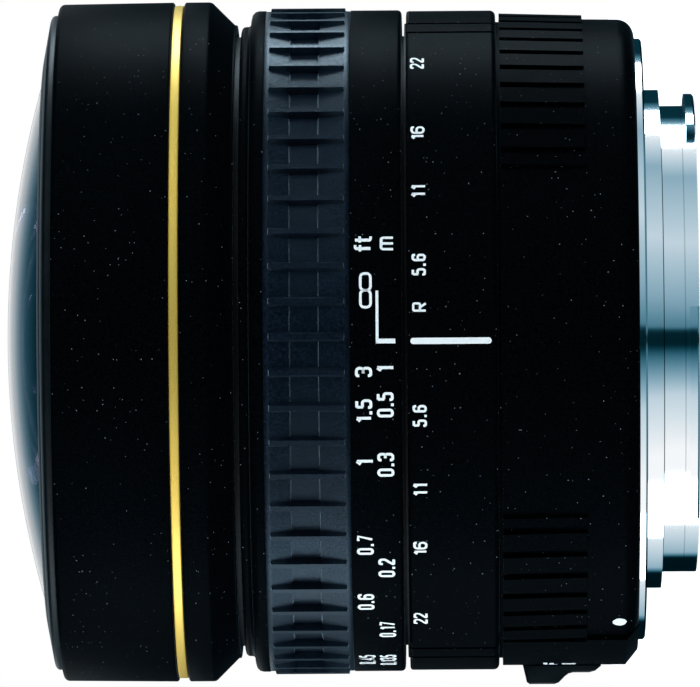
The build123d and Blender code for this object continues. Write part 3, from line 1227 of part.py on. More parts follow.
def iris_pinion():
    """Pinion of the diaphragm motor with its shaft."""
    half_tooth = 180 / IRIS_PINION_TEETH
    phase = IRIS_MOTOR_AZ + 180 + half_tooth
    pinion = Pos(0, 0, IRIS_RING_Z) * gear(IRIS_MODULE, IRIS_PINION_TEETH, IRIS_RING_T, phase)
    shaft = rod(IRIS_SHAFT_R, BASE_PLATE_Z - IRIS_MOTOR_L / 2, IRIS_RING_Z)
    return Pos(*plan(IRIS_MOTOR_PCR, IRIS_MOTOR_AZ)) * (pinion + shaft)


def iris_motor():
    """Stepping motor below the base plate."""
    place = plan(IRIS_MOTOR_PCR, IRIS_MOTOR_AZ)
    shaft_low = BASE_PLATE_Z - IRIS_MOTOR_L / 2 - RUN
    motor = rod(IRIS_MOTOR_R, BASE_PLATE_Z - IRIS_MOTOR_L, BASE_PLATE_Z, *place)
    return motor - rod(IRIS_SHAFT_R + RUN, shaft_low, BASE_PLATE_Z, *place)


# Focus mode switch

def mode_switch():
    """Sliding knob with a tall finger grip in front, a low tail and a stem through the shell."""
    seat = PANEL_R + RUN
    tall = PANEL_R + SWITCH_TALL
    low = PANEL_R + SWITCH_LOW
    grip_end = SWITCH_TALL_Z
    slope_end = grip_end - SWITCH_SLOPE_L
    tail_end = SWITCH_Z0
    top_line = Polyline(
        (seat, 0, tail_end), (seat, 0, SWITCH_Z1), (tall - SWITCH_NOSE / 2, 0, SWITCH_Z1 - SWITCH_NOSE),
        (tall, 0, SWITCH_Z1 - 2 * SWITCH_NOSE), (tall, 0, grip_end))
    curve = Spline((tall, 0, grip_end), (low, 0, slope_end), tangents=[(0, 0, -1), (0, 0, -1)])
    tail = Polyline(
        (low, 0, slope_end), (low, 0, tail_end + SWITCH_TAIL_L),
        (low - SWITCH_TAIL_DROP, 0, tail_end + SWITCH_TAIL_FOOT), (seat, 0, tail_end))
    side = make_face(top_line + curve + tail)
    knob = extrude(side, SWITCH_W / 2, both=True)
    stem_low = SWITCH_STEM_Z0
    knob += block(REAR_BORE_R - TOUCH, seat + TOUCH, SWITCH_STEM_W, stem_low,
                  stem_low + SWITCH_STEM_L, 0)
    return knob.rotate(Axis.Z, PANEL_AZ)


def switch_slider():
    """Slider plate on the inner end of the switch's stem."""
    outer = REAR_BORE_R - TOUCH
    middle = SWITCH_STEM_Z0 + SWITCH_STEM_L / 2
    return block(outer - SWITCH_PLATE_T, outer, SWITCH_PLATE_W, middle - SWITCH_PLATE_L / 2,
                 middle + SWITCH_PLATE_L / 2, PANEL_AZ) & rod(outer, REAR_BODY_Z0, REAR_BODY_Z1)


def all_parts():
    """Every node of the lens by name."""
    parts = {
        "mount_ring": mount_ring(),
        "mount_screws": mount_screws(),
        "rear_cover": rear_cover(),
        "filter_holder": filter_holder(),
        "contact_block": contact_block(),
        "contact_pins": contact_pins(),
        "contact_flex": flex_strip(0),
        "circuit_board": circuit_board(),
        "barrel_screws": barrel_screws(),
        "rear_body": rear_body(),
        "scale_ring": scale_ring(),
        "main_barrel": main_barrel(),
        "guide_tube": guide_tube(),
        "front_barrel": front_barrel(),
        "gold_band": gold_band(),
        "front_bezel": front_bezel(),
        "front_element": front_element(),
        "gear_plate": gear_plate(),
        "gear_axles": gear_axles(),
        "focus_motor": focus_motor(),
        "focus_ring": focus_ring(),
        "rubber_grip": rubber_grip(),
        "focus_keys": focus_keys(),
        "cam_tube": cam_tube(),
        "ring_gear": ring_gear(),
        "output_gear": output_gear(),
        "reduction_gear": reduction_gear(),
        "motor_pinion": motor_pinion(),
        "cell_barrel": cell_barrel(),
        "second_element": second_element(),
        "second_element_ring": second_element_ring(),
        "third_element": third_element(),
        "fourth_element": fourth_element(),
        "doublet_ring": doublet_ring(),
        "fifth_element": cemented(TRIPLET_Z, TRIPLET_CURVES, TRIPLET_R, 0),
        "sixth_element": cemented(TRIPLET_Z, TRIPLET_CURVES, TRIPLET_R, 1),
        "seventh_element": cemented(TRIPLET_Z, TRIPLET_CURVES, TRIPLET_R, 2),
        "triplet_ring": triplet_ring(),
        "eighth_element": cemented(EIGHTH_Z, EIGHTH_CURVES, EIGHTH_R, 0),
        "ninth_element": cemented(EIGHTH_Z, EIGHTH_CURVES, EIGHTH_R, 1),
        "tenth_element": cemented(TENTH_Z, TENTH_CURVES, TENTH_R, 0),
        "eleventh_element": cemented(TENTH_Z, TENTH_CURVES, TENTH_R, 1),
        "rear_lens_tube": rear_lens_tube(),
        "rear_spacer": rear_spacer(),
        "rear_ring": rear_ring(),
        "cam_rollers": cam_rollers(),
        "iris_base": iris_base(),
        "iris_ring": iris_ring(),
        "iris_cover": iris_cover(),
        "iris_cover_screws": iris_cover_screws(),
        "iris_pinion": iris_pinion(),
        "iris_motor": iris_motor(),
        "mode_switch": mode_switch(),
        "switch_slider": switch_slider(),
    }
    for index in range(BLADES):
        parts[f"blade_{index + 1}"] = blade(index)
    return parts


def main():
    """Build every node and write one STEP file for each."""
    os.makedirs("parts", exist_ok=True)
    for name, shape in all_parts().items():
        export_step(shape, f"parts/{name}.step")


main()
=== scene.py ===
"""Visual model of a circular fisheye lens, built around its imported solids.

Sizes are millimetres and become metres when a mesh is finished. The optical axis is Z, an
azimuth is counted about Z from +X in degrees, and the index line is at azimuth -90.
"""
import json
import logging
import math
from dataclasses import dataclass
from enum import Enum
from typing import Callable, ClassVar, Optional, Sequence, Union

import bmesh
import bpy
from mathutils import Matrix, Vector

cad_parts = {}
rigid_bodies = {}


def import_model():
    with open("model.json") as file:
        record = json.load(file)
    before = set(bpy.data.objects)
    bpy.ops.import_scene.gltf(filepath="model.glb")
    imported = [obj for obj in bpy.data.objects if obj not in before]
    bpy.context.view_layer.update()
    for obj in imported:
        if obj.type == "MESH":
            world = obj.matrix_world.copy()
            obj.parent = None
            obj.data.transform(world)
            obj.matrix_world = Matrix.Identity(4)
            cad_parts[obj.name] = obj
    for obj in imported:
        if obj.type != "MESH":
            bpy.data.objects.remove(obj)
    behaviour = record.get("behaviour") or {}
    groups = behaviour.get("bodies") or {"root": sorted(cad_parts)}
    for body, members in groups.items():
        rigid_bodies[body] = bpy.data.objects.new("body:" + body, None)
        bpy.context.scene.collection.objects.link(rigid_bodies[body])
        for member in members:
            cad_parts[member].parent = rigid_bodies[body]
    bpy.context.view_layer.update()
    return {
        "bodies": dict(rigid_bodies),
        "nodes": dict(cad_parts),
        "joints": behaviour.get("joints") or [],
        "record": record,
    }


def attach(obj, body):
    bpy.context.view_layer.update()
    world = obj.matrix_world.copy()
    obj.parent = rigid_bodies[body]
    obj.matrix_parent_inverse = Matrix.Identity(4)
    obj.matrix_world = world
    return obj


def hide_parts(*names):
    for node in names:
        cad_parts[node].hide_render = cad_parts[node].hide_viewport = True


LOG = logging.getLogger("fisheye")
MM = 0.001
MERGE_MM = 1e-4
CUT_MM = 1e-6
FINE_STEPS = 288
GLASS_STEPS = 192
CURVE_POINTS = 40
ARC_STEPS = 6
EDGE_STEPS = 3
EDGE_SHARE = 0.48
BEVEL = {"offset_type": "OFFSET", "profile": 0.5, "material": -1}
FULL_TURN = {"cent": (0, 0, 0), "axis": (0, 0, 1), "dvec": (0, 0, 0), "angle": 2 * math.pi}
SHARP_ANGLE = math.radians(32.0)

Colour = tuple[float, float, float]
Pairs = Sequence[tuple[float, float]]
Mesh = bmesh.types.BMesh
Material = bpy.types.Material
WHITE: Colour = (1.0, 1.0, 1.0)
Outline = list[tuple[float, float, float]]


class Body(Enum):
    """Moving bodies that new pieces ride on."""

    BARREL = "barrel"
    FOCUS = "focus_ring"
    SWITCH = "mode_switch"


class Signal:
    """Output of a shader node that takes part in expressions."""

    def __init__(self, shader: "Shader", socket: bpy.types.NodeSocket) -> None:
        """Wrap one output socket."""
        self.shader = shader
        self.socket = socket

    def _math(self, operation: str, first: "Number", second: "Number") -> "Signal":
        """Result of a Math node on two numbers or signals."""
        return self.shader.node("ShaderNodeMath", {"operation": operation}, {0: first, 1: second})

    def __add__(self, other: "Number") -> "Signal":
        """Sum."""
        return self._math("ADD", self, other)

    __radd__ = __add__

    def __mul__(self, other: "Number") -> "Signal":
        """Product."""
        return self._math("MULTIPLY", self, other)

    __rmul__ = __mul__

    def __sub__(self, other: "Number") -> "Signal":
        """Difference."""
        return self._math("SUBTRACT", self, other)

    def __rsub__(self, other: "Number") -> "Signal":
        """Difference with the signal taken away."""
        return self._math("SUBTRACT", other, self)

    def __truediv__(self, other: "Number") -> "Signal":
        """Quotient."""
        return self._math("DIVIDE", self, other)

    def largest(self, other: "Number") -> "Signal":
        """The larger of two."""
        return self._math("MAXIMUM", self, other)

    def __gt__(self, other: "Number") -> "Signal":
        """One where the signal is the larger."""
        return self._math("GREATER_THAN", self, other)

    def __lt__(self, other: "Number") -> "Signal":
        """One where the signal is the smaller."""
        return self._math("LESS_THAN", self, other)


Number = Union[float, Signal]
Tint = Union[Colour, Signal]


class Shader:
    """Node tree of a material or of the world, written as expressions."""

    def __init__(self, owner: Union[Material, bpy.types.World]) -> None:
        """Empty the node tree of a material or a world.

        Args:
            owner: the material or the world.
        """
        owner.use_nodes = True
        self.owner = owner
        self.tree = owner.node_tree
        self.tree.nodes.clear()

    @classmethod
    def material(cls, name: str) -> "Shader":
        """Shader of a new material."""
        return cls(bpy.data.materials.new(name))

    def node(self, kind: str, settings: Optional[dict] = None, inputs: Optional[dict] = None,
             output: Union[int, str] = 0) -> Signal:
        """Add any node.

        Args:
            kind: type of the node.
            settings: properties set before the sockets.
            inputs: value or signal for each socket, by name or number.
            output: output socket that is wanted.

        Returns:
            The wanted output.
        """
        made = self.tree.nodes.new(kind)
        for key, value in (settings or {}).items():
            setattr(made, key, value)
        for key, value in (inputs or {}).items():
            if isinstance(value, Signal):
                self.tree.links.new(value.socket, made.inputs[key])
            else:
                made.inputs[key].default_value = value
        return Signal(self, made.outputs[output])

    def place(self, scale: Sequence[float] = (1.0, 1.0, 1.0)) -> Signal:
        """Place on the piece in millimetres, stretched by a factor for each axis.

        Args:
            scale: factor for each axis.

        Returns:
            The place.
        """
        place = self.node("ShaderNodeTexCoord", output="Object")
        factors = tuple(value / MM for value in scale)
        return self.node("ShaderNodeVectorMath", {"operation": "MULTIPLY"}, {0: place, 1: factors})

    def noise(self, scale: float, detail: float = 2.0) -> Signal:
        """Noise with this many features per millimetre."""
        return self.node("ShaderNodeTexNoise", {}, {
            "Vector": self.place(), "Scale": scale, "Detail": detail})

    def mix(self, factor: Number, first: Tint, second: Tint) -> Signal:
        """Blend of two colours.

        Args:
            factor: 0 for the first colour, 1 for the second.
            first: colour or signal.
            second: colour or signal.

        Returns:
            The blend.
        """
        inputs = {0: factor}
        for index, value in ((6, first), (7, second)):
            inputs[index] = value if isinstance(value, Signal) else (*value, 1.0)
        return self.node("ShaderNodeMix", {"data_type": "RGBA"}, inputs, 2)

    def ramp(self, factor: Signal, stops: Pairs) -> Signal:
        """Greys along a ramp as a number.

        Args:
            factor: place on the ramp, from 0 to 1.
            stops: pairs of a place and a grey.

        Returns:
            The grey.
        """
        grey = self.node("ShaderNodeValToRGB", {}, {"Fac": factor})
        elements = grey.socket.node.color_ramp.elements
        elements.remove(elements[1])
        elements[0].position = stops[0][0]
        for place, _ in stops[1:]:
            elements.new(place)
        for element, (_, level) in zip(elements, stops):
            element.color = (level, level, level, 1.0)
        return grey

    def bump(self, height: Signal, depth_mm: float) -> Signal:
        """Normal that follows a height between 0 and 1."""
        return self.node("ShaderNodeBump", {}, {
            "Height": height, "Distance": depth_mm * MM, "Strength": 1.0})

    def finish(self, **inputs: Union[float, Colour, Signal]) -> Material:
        """Close the tree with a Principled shader.

        Args:
            inputs: its sockets, with underscores for the spaces in their names.

        Returns:
            The material.
        """
        sockets = {}
        for key, value in inputs.items():
            plain = isinstance(value, tuple) and len(value) == 3
            sockets[key.replace("_", " ")] = (*value, 1.0) if plain else value
        return self.close(self.node("ShaderNodeBsdfPrincipled", {}, sockets))

    def close(self, surface: Signal) -> Union[Material, bpy.types.World]:
        """Link a surface to the output of the tree.

        Args:
            surface: shader that the tree ends in.

        Returns:
            The material or the world.
        """
        world = isinstance(self.owner, bpy.types.World)
        kind = "ShaderNodeOutputWorld" if world else "ShaderNodeOutputMaterial"
        self.tree.links.new(surface.socket, self.tree.nodes.new(kind).inputs["Surface"])
        return self.owner


@dataclass(frozen=True)
class PowderCoat:
    """Near-black matte coat with fine grain and sparse pale specks."""

    deep: Colour = (0.0002, 0.0003, 0.0005)
    lift: Colour = (0.0012, 0.002, 0.003)
    speck: Colour = (0.17, 0.22, 0.26)
    reflection: Colour = (0.45, 0.82, 1.0)
    cells_per_mm: float = 1.7
    speck_size: float = 0.11
    speck_share: float = 0.55
    roughness: float = 0.42
    specular: float = 0.009
    sheen: float = 0.045

    def material(self, shader: Shader) -> Material:
        """Material of this coat.

        Args:
            shader: its empty node tree.

        Returns:
            The material.
        """
        grain = shader.noise(5.0, 3.0)
        tint = shader.mix(shader.ramp(grain, ((0.35, 0.0), (0.7, 1.0))), self.deep, self.lift)
        cells = {"Vector": shader.place(), "Scale": self.cells_per_mm}
        distance = shader.node("ShaderNodeTexVoronoi", {}, cells, "Distance")
        random = shader.node("ShaderNodeTexVoronoi", {}, cells, "Color")
        amount = shader.node("ShaderNodeSeparateColor", {}, {0: random}, 0)
        spot = (distance < self.speck_size * amount) * (amount > 1.0 - self.speck_share)
        colour = shader.mix(spot * amount * 0.8, tint, self.speck)
        return shader.finish(
            Base_Color=colour, Roughness=self.roughness + (grain - 0.5) * 0.16,
            Specular_IOR_Level=self.specular, Specular_Tint=self.reflection,
            Sheen_Weight=self.sheen, Sheen_Roughness=0.25, Sheen_Tint=self.reflection,
            Normal=shader.bump(shader.noise(9.0, 2.0), 0.01))


@dataclass(frozen=True)
class Rubber:
    """Soft moulded rubber, dusty blue-grey, with a sandy skin."""

    deep: Colour = (0.0006, 0.0011, 0.0026)
    lift: Colour = (0.004, 0.0075, 0.016)
    reflection: Colour = (0.55, 0.8, 1.0)
    roughness: float = 0.38
    specular: float = 0.36
    sheen: float = 0.3

    def material(self, shader: Shader) -> Material:
        """Material of the rubber.

        Args:
            shader: its empty node tree.

        Returns:
            The material.
        """
        sand = shader.noise(3.4, 3.0)
        cloud = shader.noise(0.35, 2.0)
        tint = shader.mix(shader.ramp(sand * 0.8 + cloud * 0.2, ((0.36, 0.0), (0.66, 1.0))),
                          self.deep, self.lift)
        return shader.finish(
            Base_Color=tint, Roughness=self.roughness + (sand - 0.5) * 0.3,
            Specular_IOR_Level=self.specular, Specular_Tint=self.reflection,
            Sheen_Weight=self.sheen, Sheen_Roughness=0.3, Sheen_Tint=self.reflection,
            Normal=shader.bump(sand, 0.03))


@dataclass(frozen=True)
class TurnedMetal:
    """Metal turned on a lathe: fine rings that follow the radius and the height."""

    colour: Colour
    dark: Colour
    roughness: float = 0.2
    rings_per_mm: float = 9.0
    depth_mm: float = 0.0006
    mottle: float = 0.05
    metallic: float = 1.0
    lines: Pairs = ()
    line_half: float = 0.07
    line_colour: Colour = (0.01, 0.02, 0.03)

    def material(self, shader: Shader) -> Material:
        """Material of the metal.

        Args:
            shader: its empty node tree.

        Returns:
            The material.
        """
        across = shader.node("ShaderNodeVectorMath", {"operation": "LENGTH"},
                             {0: shader.place((1.0, 1.0, 0.0))}, "Value")
        height = shader.node("ShaderNodeSeparateXYZ", {}, {0: shader.place()}, "Z")
        rings = shader.node("ShaderNodeTexNoise", {"noise_dimensions": "1D"}, {
            "W": across + height * 1.37, "Scale": self.rings_per_mm, "Detail": 3.0})
        cloud = shader.noise(0.5, 3.0)
        colour = shader.mix(rings * 0.5 + cloud * self.mottle, self.colour, self.dark)
        for at, depth in self.lines:
            line = (height > at - self.line_half) * (height < at + self.line_half) * depth
            colour = shader.mix(line, colour, self.line_colour)
        return shader.finish(
            Base_Color=colour, Metallic=self.metallic,
            Roughness=self.roughness + (rings - 0.5) * 0.06 + (cloud - 0.5) * self.mottle,
            Normal=shader.bump(rings, self.depth_mm))


@dataclass(frozen=True)
class Moulded:
    """Moulded or lacquered material with a fine texture."""

    colour: Colour
    lift: Colour
    roughness: float = 0.5
    specular: float = 0.4
    grain_per_mm: float = 6.0
    depth_mm: float = 0.006
    metallic: float = 0.0

    def material(self, shader: Shader) -> Material:
        """Material of the moulding.

        Args:
            shader: its empty node tree.

        Returns:
            The material.
        """
        grain = shader.noise(self.grain_per_mm, 3.0)
        cloud = shader.noise(0.4, 2.0)
        tint = shader.mix(shader.ramp(grain * 0.6 + cloud * 0.4, ((0.35, 0.0), (0.68, 1.0))),
                          self.colour, self.lift)
        return shader.finish(
            Base_Color=tint, Metallic=self.metallic, Specular_IOR_Level=self.specular,
            Roughness=self.roughness + (grain - 0.5) * 0.14,
            Normal=shader.bump(grain, self.depth_mm))


@dataclass(frozen=True)
class CoatedGlass:
    """Polished optical glass with a violet and green anti-reflection coating."""

    tint: Colour = (0.62, 0.6, 0.72)
    reflection: Colour = (0.85, 0.6, 1.0)
    index: float = 1.5
    roughness: float = 0.01

    def material(self, shader: Shader) -> Material:
        """Material of the glass.

        Args:
            shader: its empty node tree.

        Returns:
            The material.
        """
        cloud = shader.noise(0.08, 2.0)
        tint = shader.mix(cloud * 0.4, self.tint, tuple(value * 0.93 for value in self.tint))
        return shader.finish(
            Base_Color=tint, Transmission_Weight=1.0, IOR=self.index,
            Roughness=self.roughness, Specular_Tint=self.reflection,
            Specular_IOR_Level=0.4)


@dataclass(frozen=True)
class ScalePaint:
    """Paint filled into engraved marks."""

    colour: Colour = (0.86, 0.93, 0.96)
    worn: Colour = (0.76, 0.86, 0.9)

    def material(self, shader: Shader) -> Material:
        """Material of the paint.

        Args:
            shader: its empty node tree.

        Returns:
            The material.
        """
        wear = shader.noise(6.0, 3.0)
        colour = shader.mix(shader.ramp(wear, ((0.5, 0.0), (0.78, 1.0))), self.colour, self.worn)
        return shader.finish(
            Base_Color=colour, Roughness=0.6 + (wear - 0.5) * 0.2, Specular_IOR_Level=0.3,
            Normal=shader.bump(wear, 0.004))


class Finish(Enum):
    """Finishes by the record's material slot, with the paint of the marks added."""

    satin_black = PowderCoat()
    black_plastic = Moulded((0.0015, 0.0022, 0.003), (0.005, 0.0068, 0.009), 0.4, 0.2)
    switch_black = Moulded((0.0012, 0.0018, 0.0026), (0.004, 0.0055, 0.0075), 0.3, 0.3, 10.0, 0.003)
    grip_rubber = Rubber()
    gold_ring = TurnedMetal((0.93, 0.63, 0.12), (0.84, 0.53, 0.09), 0.38, 5.0, 0.0004, 0.05, 0.6)
    mount_chrome = TurnedMetal((0.93, 0.95, 0.97), (0.86, 0.89, 0.92), 0.07, 9.0, 0.0002, 0.02,
                               1.0, ((-1.87, 0.9), (-4.15, 0.3)))
    steel = TurnedMetal((0.56, 0.57, 0.6), (0.42, 0.43, 0.46), 0.3)
    glass = CoatedGlass()
    inner_black = Moulded((0.0015, 0.0015, 0.002), (0.004, 0.004, 0.005), 0.45, 0.12, 8.0, 0.004)
    brass = TurnedMetal((0.72, 0.53, 0.24), (0.58, 0.4, 0.16), 0.32)
    board_green = Moulded((0.012, 0.075, 0.03), (0.02, 0.11, 0.045), 0.3, 0.5, 2.0, 0.01)
    flex_amber = Moulded((0.32, 0.13, 0.02), (0.42, 0.19, 0.03), 0.28, 0.5, 2.0, 0.004)
    contact_gold = TurnedMetal((0.92, 0.68, 0.24), (0.8, 0.56, 0.16), 0.2)
    blade_black = Moulded((0.01, 0.01, 0.012), (0.02, 0.02, 0.023), 0.4, 0.5, 4.0, 0.002, 0.6)
    mark_paint = ScalePaint()


class Wardrobe:
    """Materials made once for each finish."""

    def __init__(self) -> None:
        """Start with no materials."""
        self.made: dict[str, Material] = {}

    def get(self, finish: Finish) -> Material:
        """Material of a finish, made on its first use.

        Args:
            finish: the finish.

        Returns:
            Its material.
        """
        if finish.name not in self.made:
            self.made[finish.name] = finish.value.material(Shader.material(finish.name))
        return self.made[finish.name]

    def dress_solids(self, frame: dict) -> None:
        """Give every carried-over solid the material of its slot in the record.

        Args:
            frame: what the loader of the frame returned.
        """
        for row in frame["record"]["subparts"]:
            solid = frame["nodes"][row["node"]]
            solid.data.materials.clear()
            solid.data.materials.append(self.get(Finish[row["material_slot"]]))


def spot(radius: float, azimuth: float, height: float) -> Vector:
    """Point at a radius, azimuth and height."""
    turn = math.radians(azimuth)
    return Vector((radius * math.cos(turn), radius * math.sin(turn), height))


def sag(curve: float, radius: float) -> float:
    """Depth of a spherical surface below its vertex at a radius."""
    root = math.sqrt(curve * curve - radius * radius)
    return curve - root if curve > 0 else curve + root


def surface_points(vertex: float, curve: float, outer: float) -> Outline:
    """Outline points along a spherical surface from the axis to a radius."""
    radii = [outer * i / CURVE_POINTS for i in range(CURVE_POINTS + 1)]
    return [(radius, vertex - sag(curve, radius), 0.0) for radius in radii]


def placed(name: str, data: bpy.types.ID) -> bpy.types.Object:
    """New object in the scene.

    Args:
        name: its name.
        data: its mesh, curve, camera or lamp.

    Returns:
        The object.
    """
    made = bpy.data.objects.new(name, data)
    bpy.context.scene.collection.objects.link(made)
    return made


def extent(mesh: Mesh) -> tuple[Vector, Vector]:
    """Lowest and highest place of a mesh on each axis."""
    rows = tuple(zip(*(vert.co for vert in mesh.verts)))
    return Vector([min(row) for row in rows]), Vector([max(row) for row in rows])


def turned(outline: Outline, steps: int = FINE_STEPS) -> Mesh:
    """Closed ring or disc turned about the optical axis.

    Args:
        outline: closed outline as (radius, height, rounding of the corner).
        steps: number of steps round the axis.

    Returns:
        The mesh in millimetres.
    """
    mesh = bmesh.new()
    corners = [mesh.verts.new((radius, 0.0, height)) for radius, height, _ in outline]
    mesh.faces.new(corners)
    for rounding in sorted({entry[2] for entry in outline if entry[2] > 0.0}):
        chosen = [vert for vert, entry in zip(corners, outline) if entry[2] == rounding]
        bmesh.ops.bevel(mesh, geom=chosen, offset=rounding, segments=EDGE_STEPS,
                        affect="VERTICES", **BEVEL)
    bmesh.ops.delete(mesh, geom=mesh.faces[:], context="FACES_ONLY")
    bmesh.ops.spin(mesh, geom=mesh.verts[:] + mesh.edges[:], steps=steps, use_merge=True,
                   **FULL_TURN)
    bmesh.ops.remove_doubles(mesh, verts=mesh.verts[:], dist=MERGE_MM)
    bmesh.ops.recalc_face_normals(mesh, faces=mesh.faces[:])
    return mesh


def rounded_path(points: Sequence[Vector], radius: float, closed: bool) -> list[Vector]:
    """Path through points with its corners turned into arcs.

    Args:
        points: corners of the path.
        radius: largest radius of an arc.
        closed: whether the path joins its ends.

    Returns:
        Points along the rounded path.
    """
    count = len(points)
    path = []
    for index, corner in enumerate(points):
        if radius <= 0.0 or (not closed and index in (0, count - 1)):
            path.append(corner)
            continue
        before = points[index - 1] - corner
        after = points[(index + 1) % count] - corner
        half = before.angle(after) / 2
        reach = min(radius / math.tan(half), EDGE_SHARE * before.length,
                    EDGE_SHARE * after.length)
        before.normalize()
        after.normalize()
        centre = corner + (before + after).normalized() * (reach / math.cos(half))
        start = corner + before * reach - centre
        end = corner + after * reach - centre
        path += [centre + start.slerp(end, step / ARC_STEPS).normalized() * start.length
                 for step in range(ARC_STEPS + 1)]
    return path


@dataclass
class Workshop:
    """Turns finished bmeshes into pieces of the lens."""

    NO_SLOT: ClassVar[str] = "paint"

    wardrobe: Wardrobe

    def piece(self, name: str, mesh: Mesh, finish: Finish, body: Body,
              replaces: Sequence[str] = (),
              sharp: float = SHARP_ANGLE) -> None:
        """Make an object of a mesh in millimetres, dress it and let it ride.

        Args:
            name: name of the piece.
            mesh: its shape in millimetres, used up by the call.
            finish: its finish.
            body: body that it rides on.
            replaces: solids that it stands for.
            sharp: edges that bend more than this stay sharp.
        """
        bmesh.ops.scale(mesh, vec=(MM, MM, MM), verts=mesh.verts[:])
        for face in mesh.faces:
            face.smooth = True
        for edge in mesh.edges:
            edge.smooth = len(edge.link_faces) == 2 and edge.calc_face_angle(0.0) < sharp
        data = bpy.data.meshes.new(name)
        mesh.to_mesh(data)
        mesh.free()
        data.materials.append(self.wardrobe.get(finish))
        made = placed(name, data)
        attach(made, body.value)
        if replaces:
            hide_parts(*replaces)
        LOG.info("%s: %d faces on %s", name, len(data.polygons), body.value)


@dataclass
class FrontGroup:
    """Front barrel, gold band, holding ring and domed front element."""

    barrel_r: float = 36.6
    skirt_r: float = 36.745
    rear_z: float = 43.55
    front_z: float = 62.7
    chamfer: float = 2.5
    chamfer_z: float = 46.3
    band_z: float = 49.76
    band_w: float = 1.0
    band_r: float = 36.4
    crown: float = 0.03
    band_seat_r: float = 36.0
    groove_w: float = 1.15
    ring_r: float = 35.4
    ring_top: float = 64.3
    lip_r: float = 31.1
    ring_groove_r: float = 33.05
    ring_groove_w: float = 0.25
    ring_outer_r: float = 33.8
    ring_wall: float = 0.8
    glass_apex: float = 68.6
    glass_curve: float = 102.0
    glass_r: float = 32.0
    glass_clear_r: float = 31.0
    glass_step_z: float = 63.0
    glass_gap: float = 0.05
    glass_rear_z: float = 64.8
    glass_rear_curve: float = 25.5
    glass_rear_r: float = 21.5
    ledge: float = 1.4
    rim_seat_r: float = 33.85
    rim_seat_depth: float = 1.7
    seat_r: float = 32.05
    bore_r: float = 22.0
    inner_r: float = 33.0
    inner_z: float = 48.0

    def build(self, shop: Workshop) -> None:
        """Make the four pieces.

        Args:
            shop: maker of pieces.
        """
        shop.piece("front_shell", self._shell(), Finish.satin_black, Body.BARREL, ["front_barrel"])
        shop.piece("gold_ring_band", self._band(), Finish.gold_ring, Body.BARREL, ["gold_band"])
        shop.piece("front_holding_ring", self._ring(), Finish.black_plastic, Body.BARREL,
                   ["front_bezel"])
        shop.piece("front_glass", self._glass(), Finish.glass, Body.BARREL, ["front_element"])

    def _seat(self) -> float:
        """Height of the seat of the front element."""
        return self.glass_rear_z - sag(self.glass_rear_curve, self.glass_rear_r)

    def _shell(self) -> Mesh:
        """Outer shell with its chamfer, the band's groove and the seat of the glass.

        Returns:
            The mesh.
        """
        low = self.band_z - self.groove_w / 2
        high = self.band_z + self.groove_w / 2
        seat = self._seat()
        rim = self.front_z - self.rim_seat_depth
        neck = self.skirt_r - self.chamfer
        return turned([
            (self.inner_r, self.rear_z, 0.1), (neck, self.rear_z, 0.08),
            (neck, self.chamfer_z - self.chamfer, 0.05), (self.skirt_r, self.chamfer_z, 0.25),
            (self.skirt_r, low, 0.22), (self.band_seat_r, low, 0.02),
            (self.band_seat_r, high, 0.02), (self.skirt_r, high, 0.22),
            (self.barrel_r, self.front_z, 0.5), (self.rim_seat_r, self.front_z, 0.05),
            (self.rim_seat_r, rim, 0.02), (self.seat_r, rim, 0.02), (self.seat_r, seat, 0.02),
            (self.bore_r, seat, 0.02), (self.bore_r, seat - self.ledge, 0.02),
            (self.seat_r, seat - self.ledge, 0.02), (self.seat_r, self.inner_z, 0.02),
            (self.inner_r, self.inner_z, 0.02),
        ])

    def _band(self) -> Mesh:
        """Gold-coloured ring with softened edges and a slight crown.

        Returns:
            The mesh.
        """
        low = self.band_z - self.band_w / 2
        high = self.band_z + self.band_w / 2
        edge = self.band_r - self.crown
        return turned([
            (self.band_seat_r, low, 0.0), (edge, low, 0.1), (self.band_r, self.band_z, 0.3),
            (edge, high, 0.1), (self.band_seat_r, high, 0.0),
        ])

    def _ring(self) -> Mesh:
        """Stepped holding ring with a fine groove in its face.

        Returns:
            The mesh.
        """
        wall_top = self.front_z + self.ring_wall
        slope = (self.ring_top - wall_top) / (self.ring_r - self.lip_r)
        seat = self.glass_step_z + self.glass_gap
        groove_z = self.ring_top - slope * (self.ring_groove_r - self.lip_r)
        half = self.ring_groove_w / 2
        rim = self.front_z - self.rim_seat_depth
        return turned([
            (self.lip_r, seat, 0.0), (self.lip_r, self.ring_top, 0.12),
            (self.ring_groove_r - half, groove_z + slope * half, 0.06),
            (self.ring_groove_r, groove_z - 2 * half, 0.05),
            (self.ring_groove_r + half, groove_z - slope * half, 0.06),
            (self.ring_r, wall_top, 0.3), (self.ring_r, self.front_z, 0.02),
            (self.ring_outer_r, self.front_z, 0.02), (self.ring_outer_r, rim, 0.0),
            (self.seat_r, rim, 0.0), (self.seat_r, seat, 0.0),
        ])

    def _glass(self) -> Mesh:
        """Large negative meniscus with its ground ledge.

        Returns:
            The mesh.
        """
        front = surface_points(self.glass_apex, self.glass_curve, self.glass_clear_r)
        rear = surface_points(self.glass_rear_z, self.glass_rear_curve, self.glass_rear_r)
        seat = self._seat()
        rim = [(self.glass_clear_r, self.glass_step_z, 0.0), (self.glass_r, self.glass_step_z, 0.1),
               (self.glass_r, seat, 0.1)]
        return turned(front + rim + rear[::-1], GLASS_STEPS)


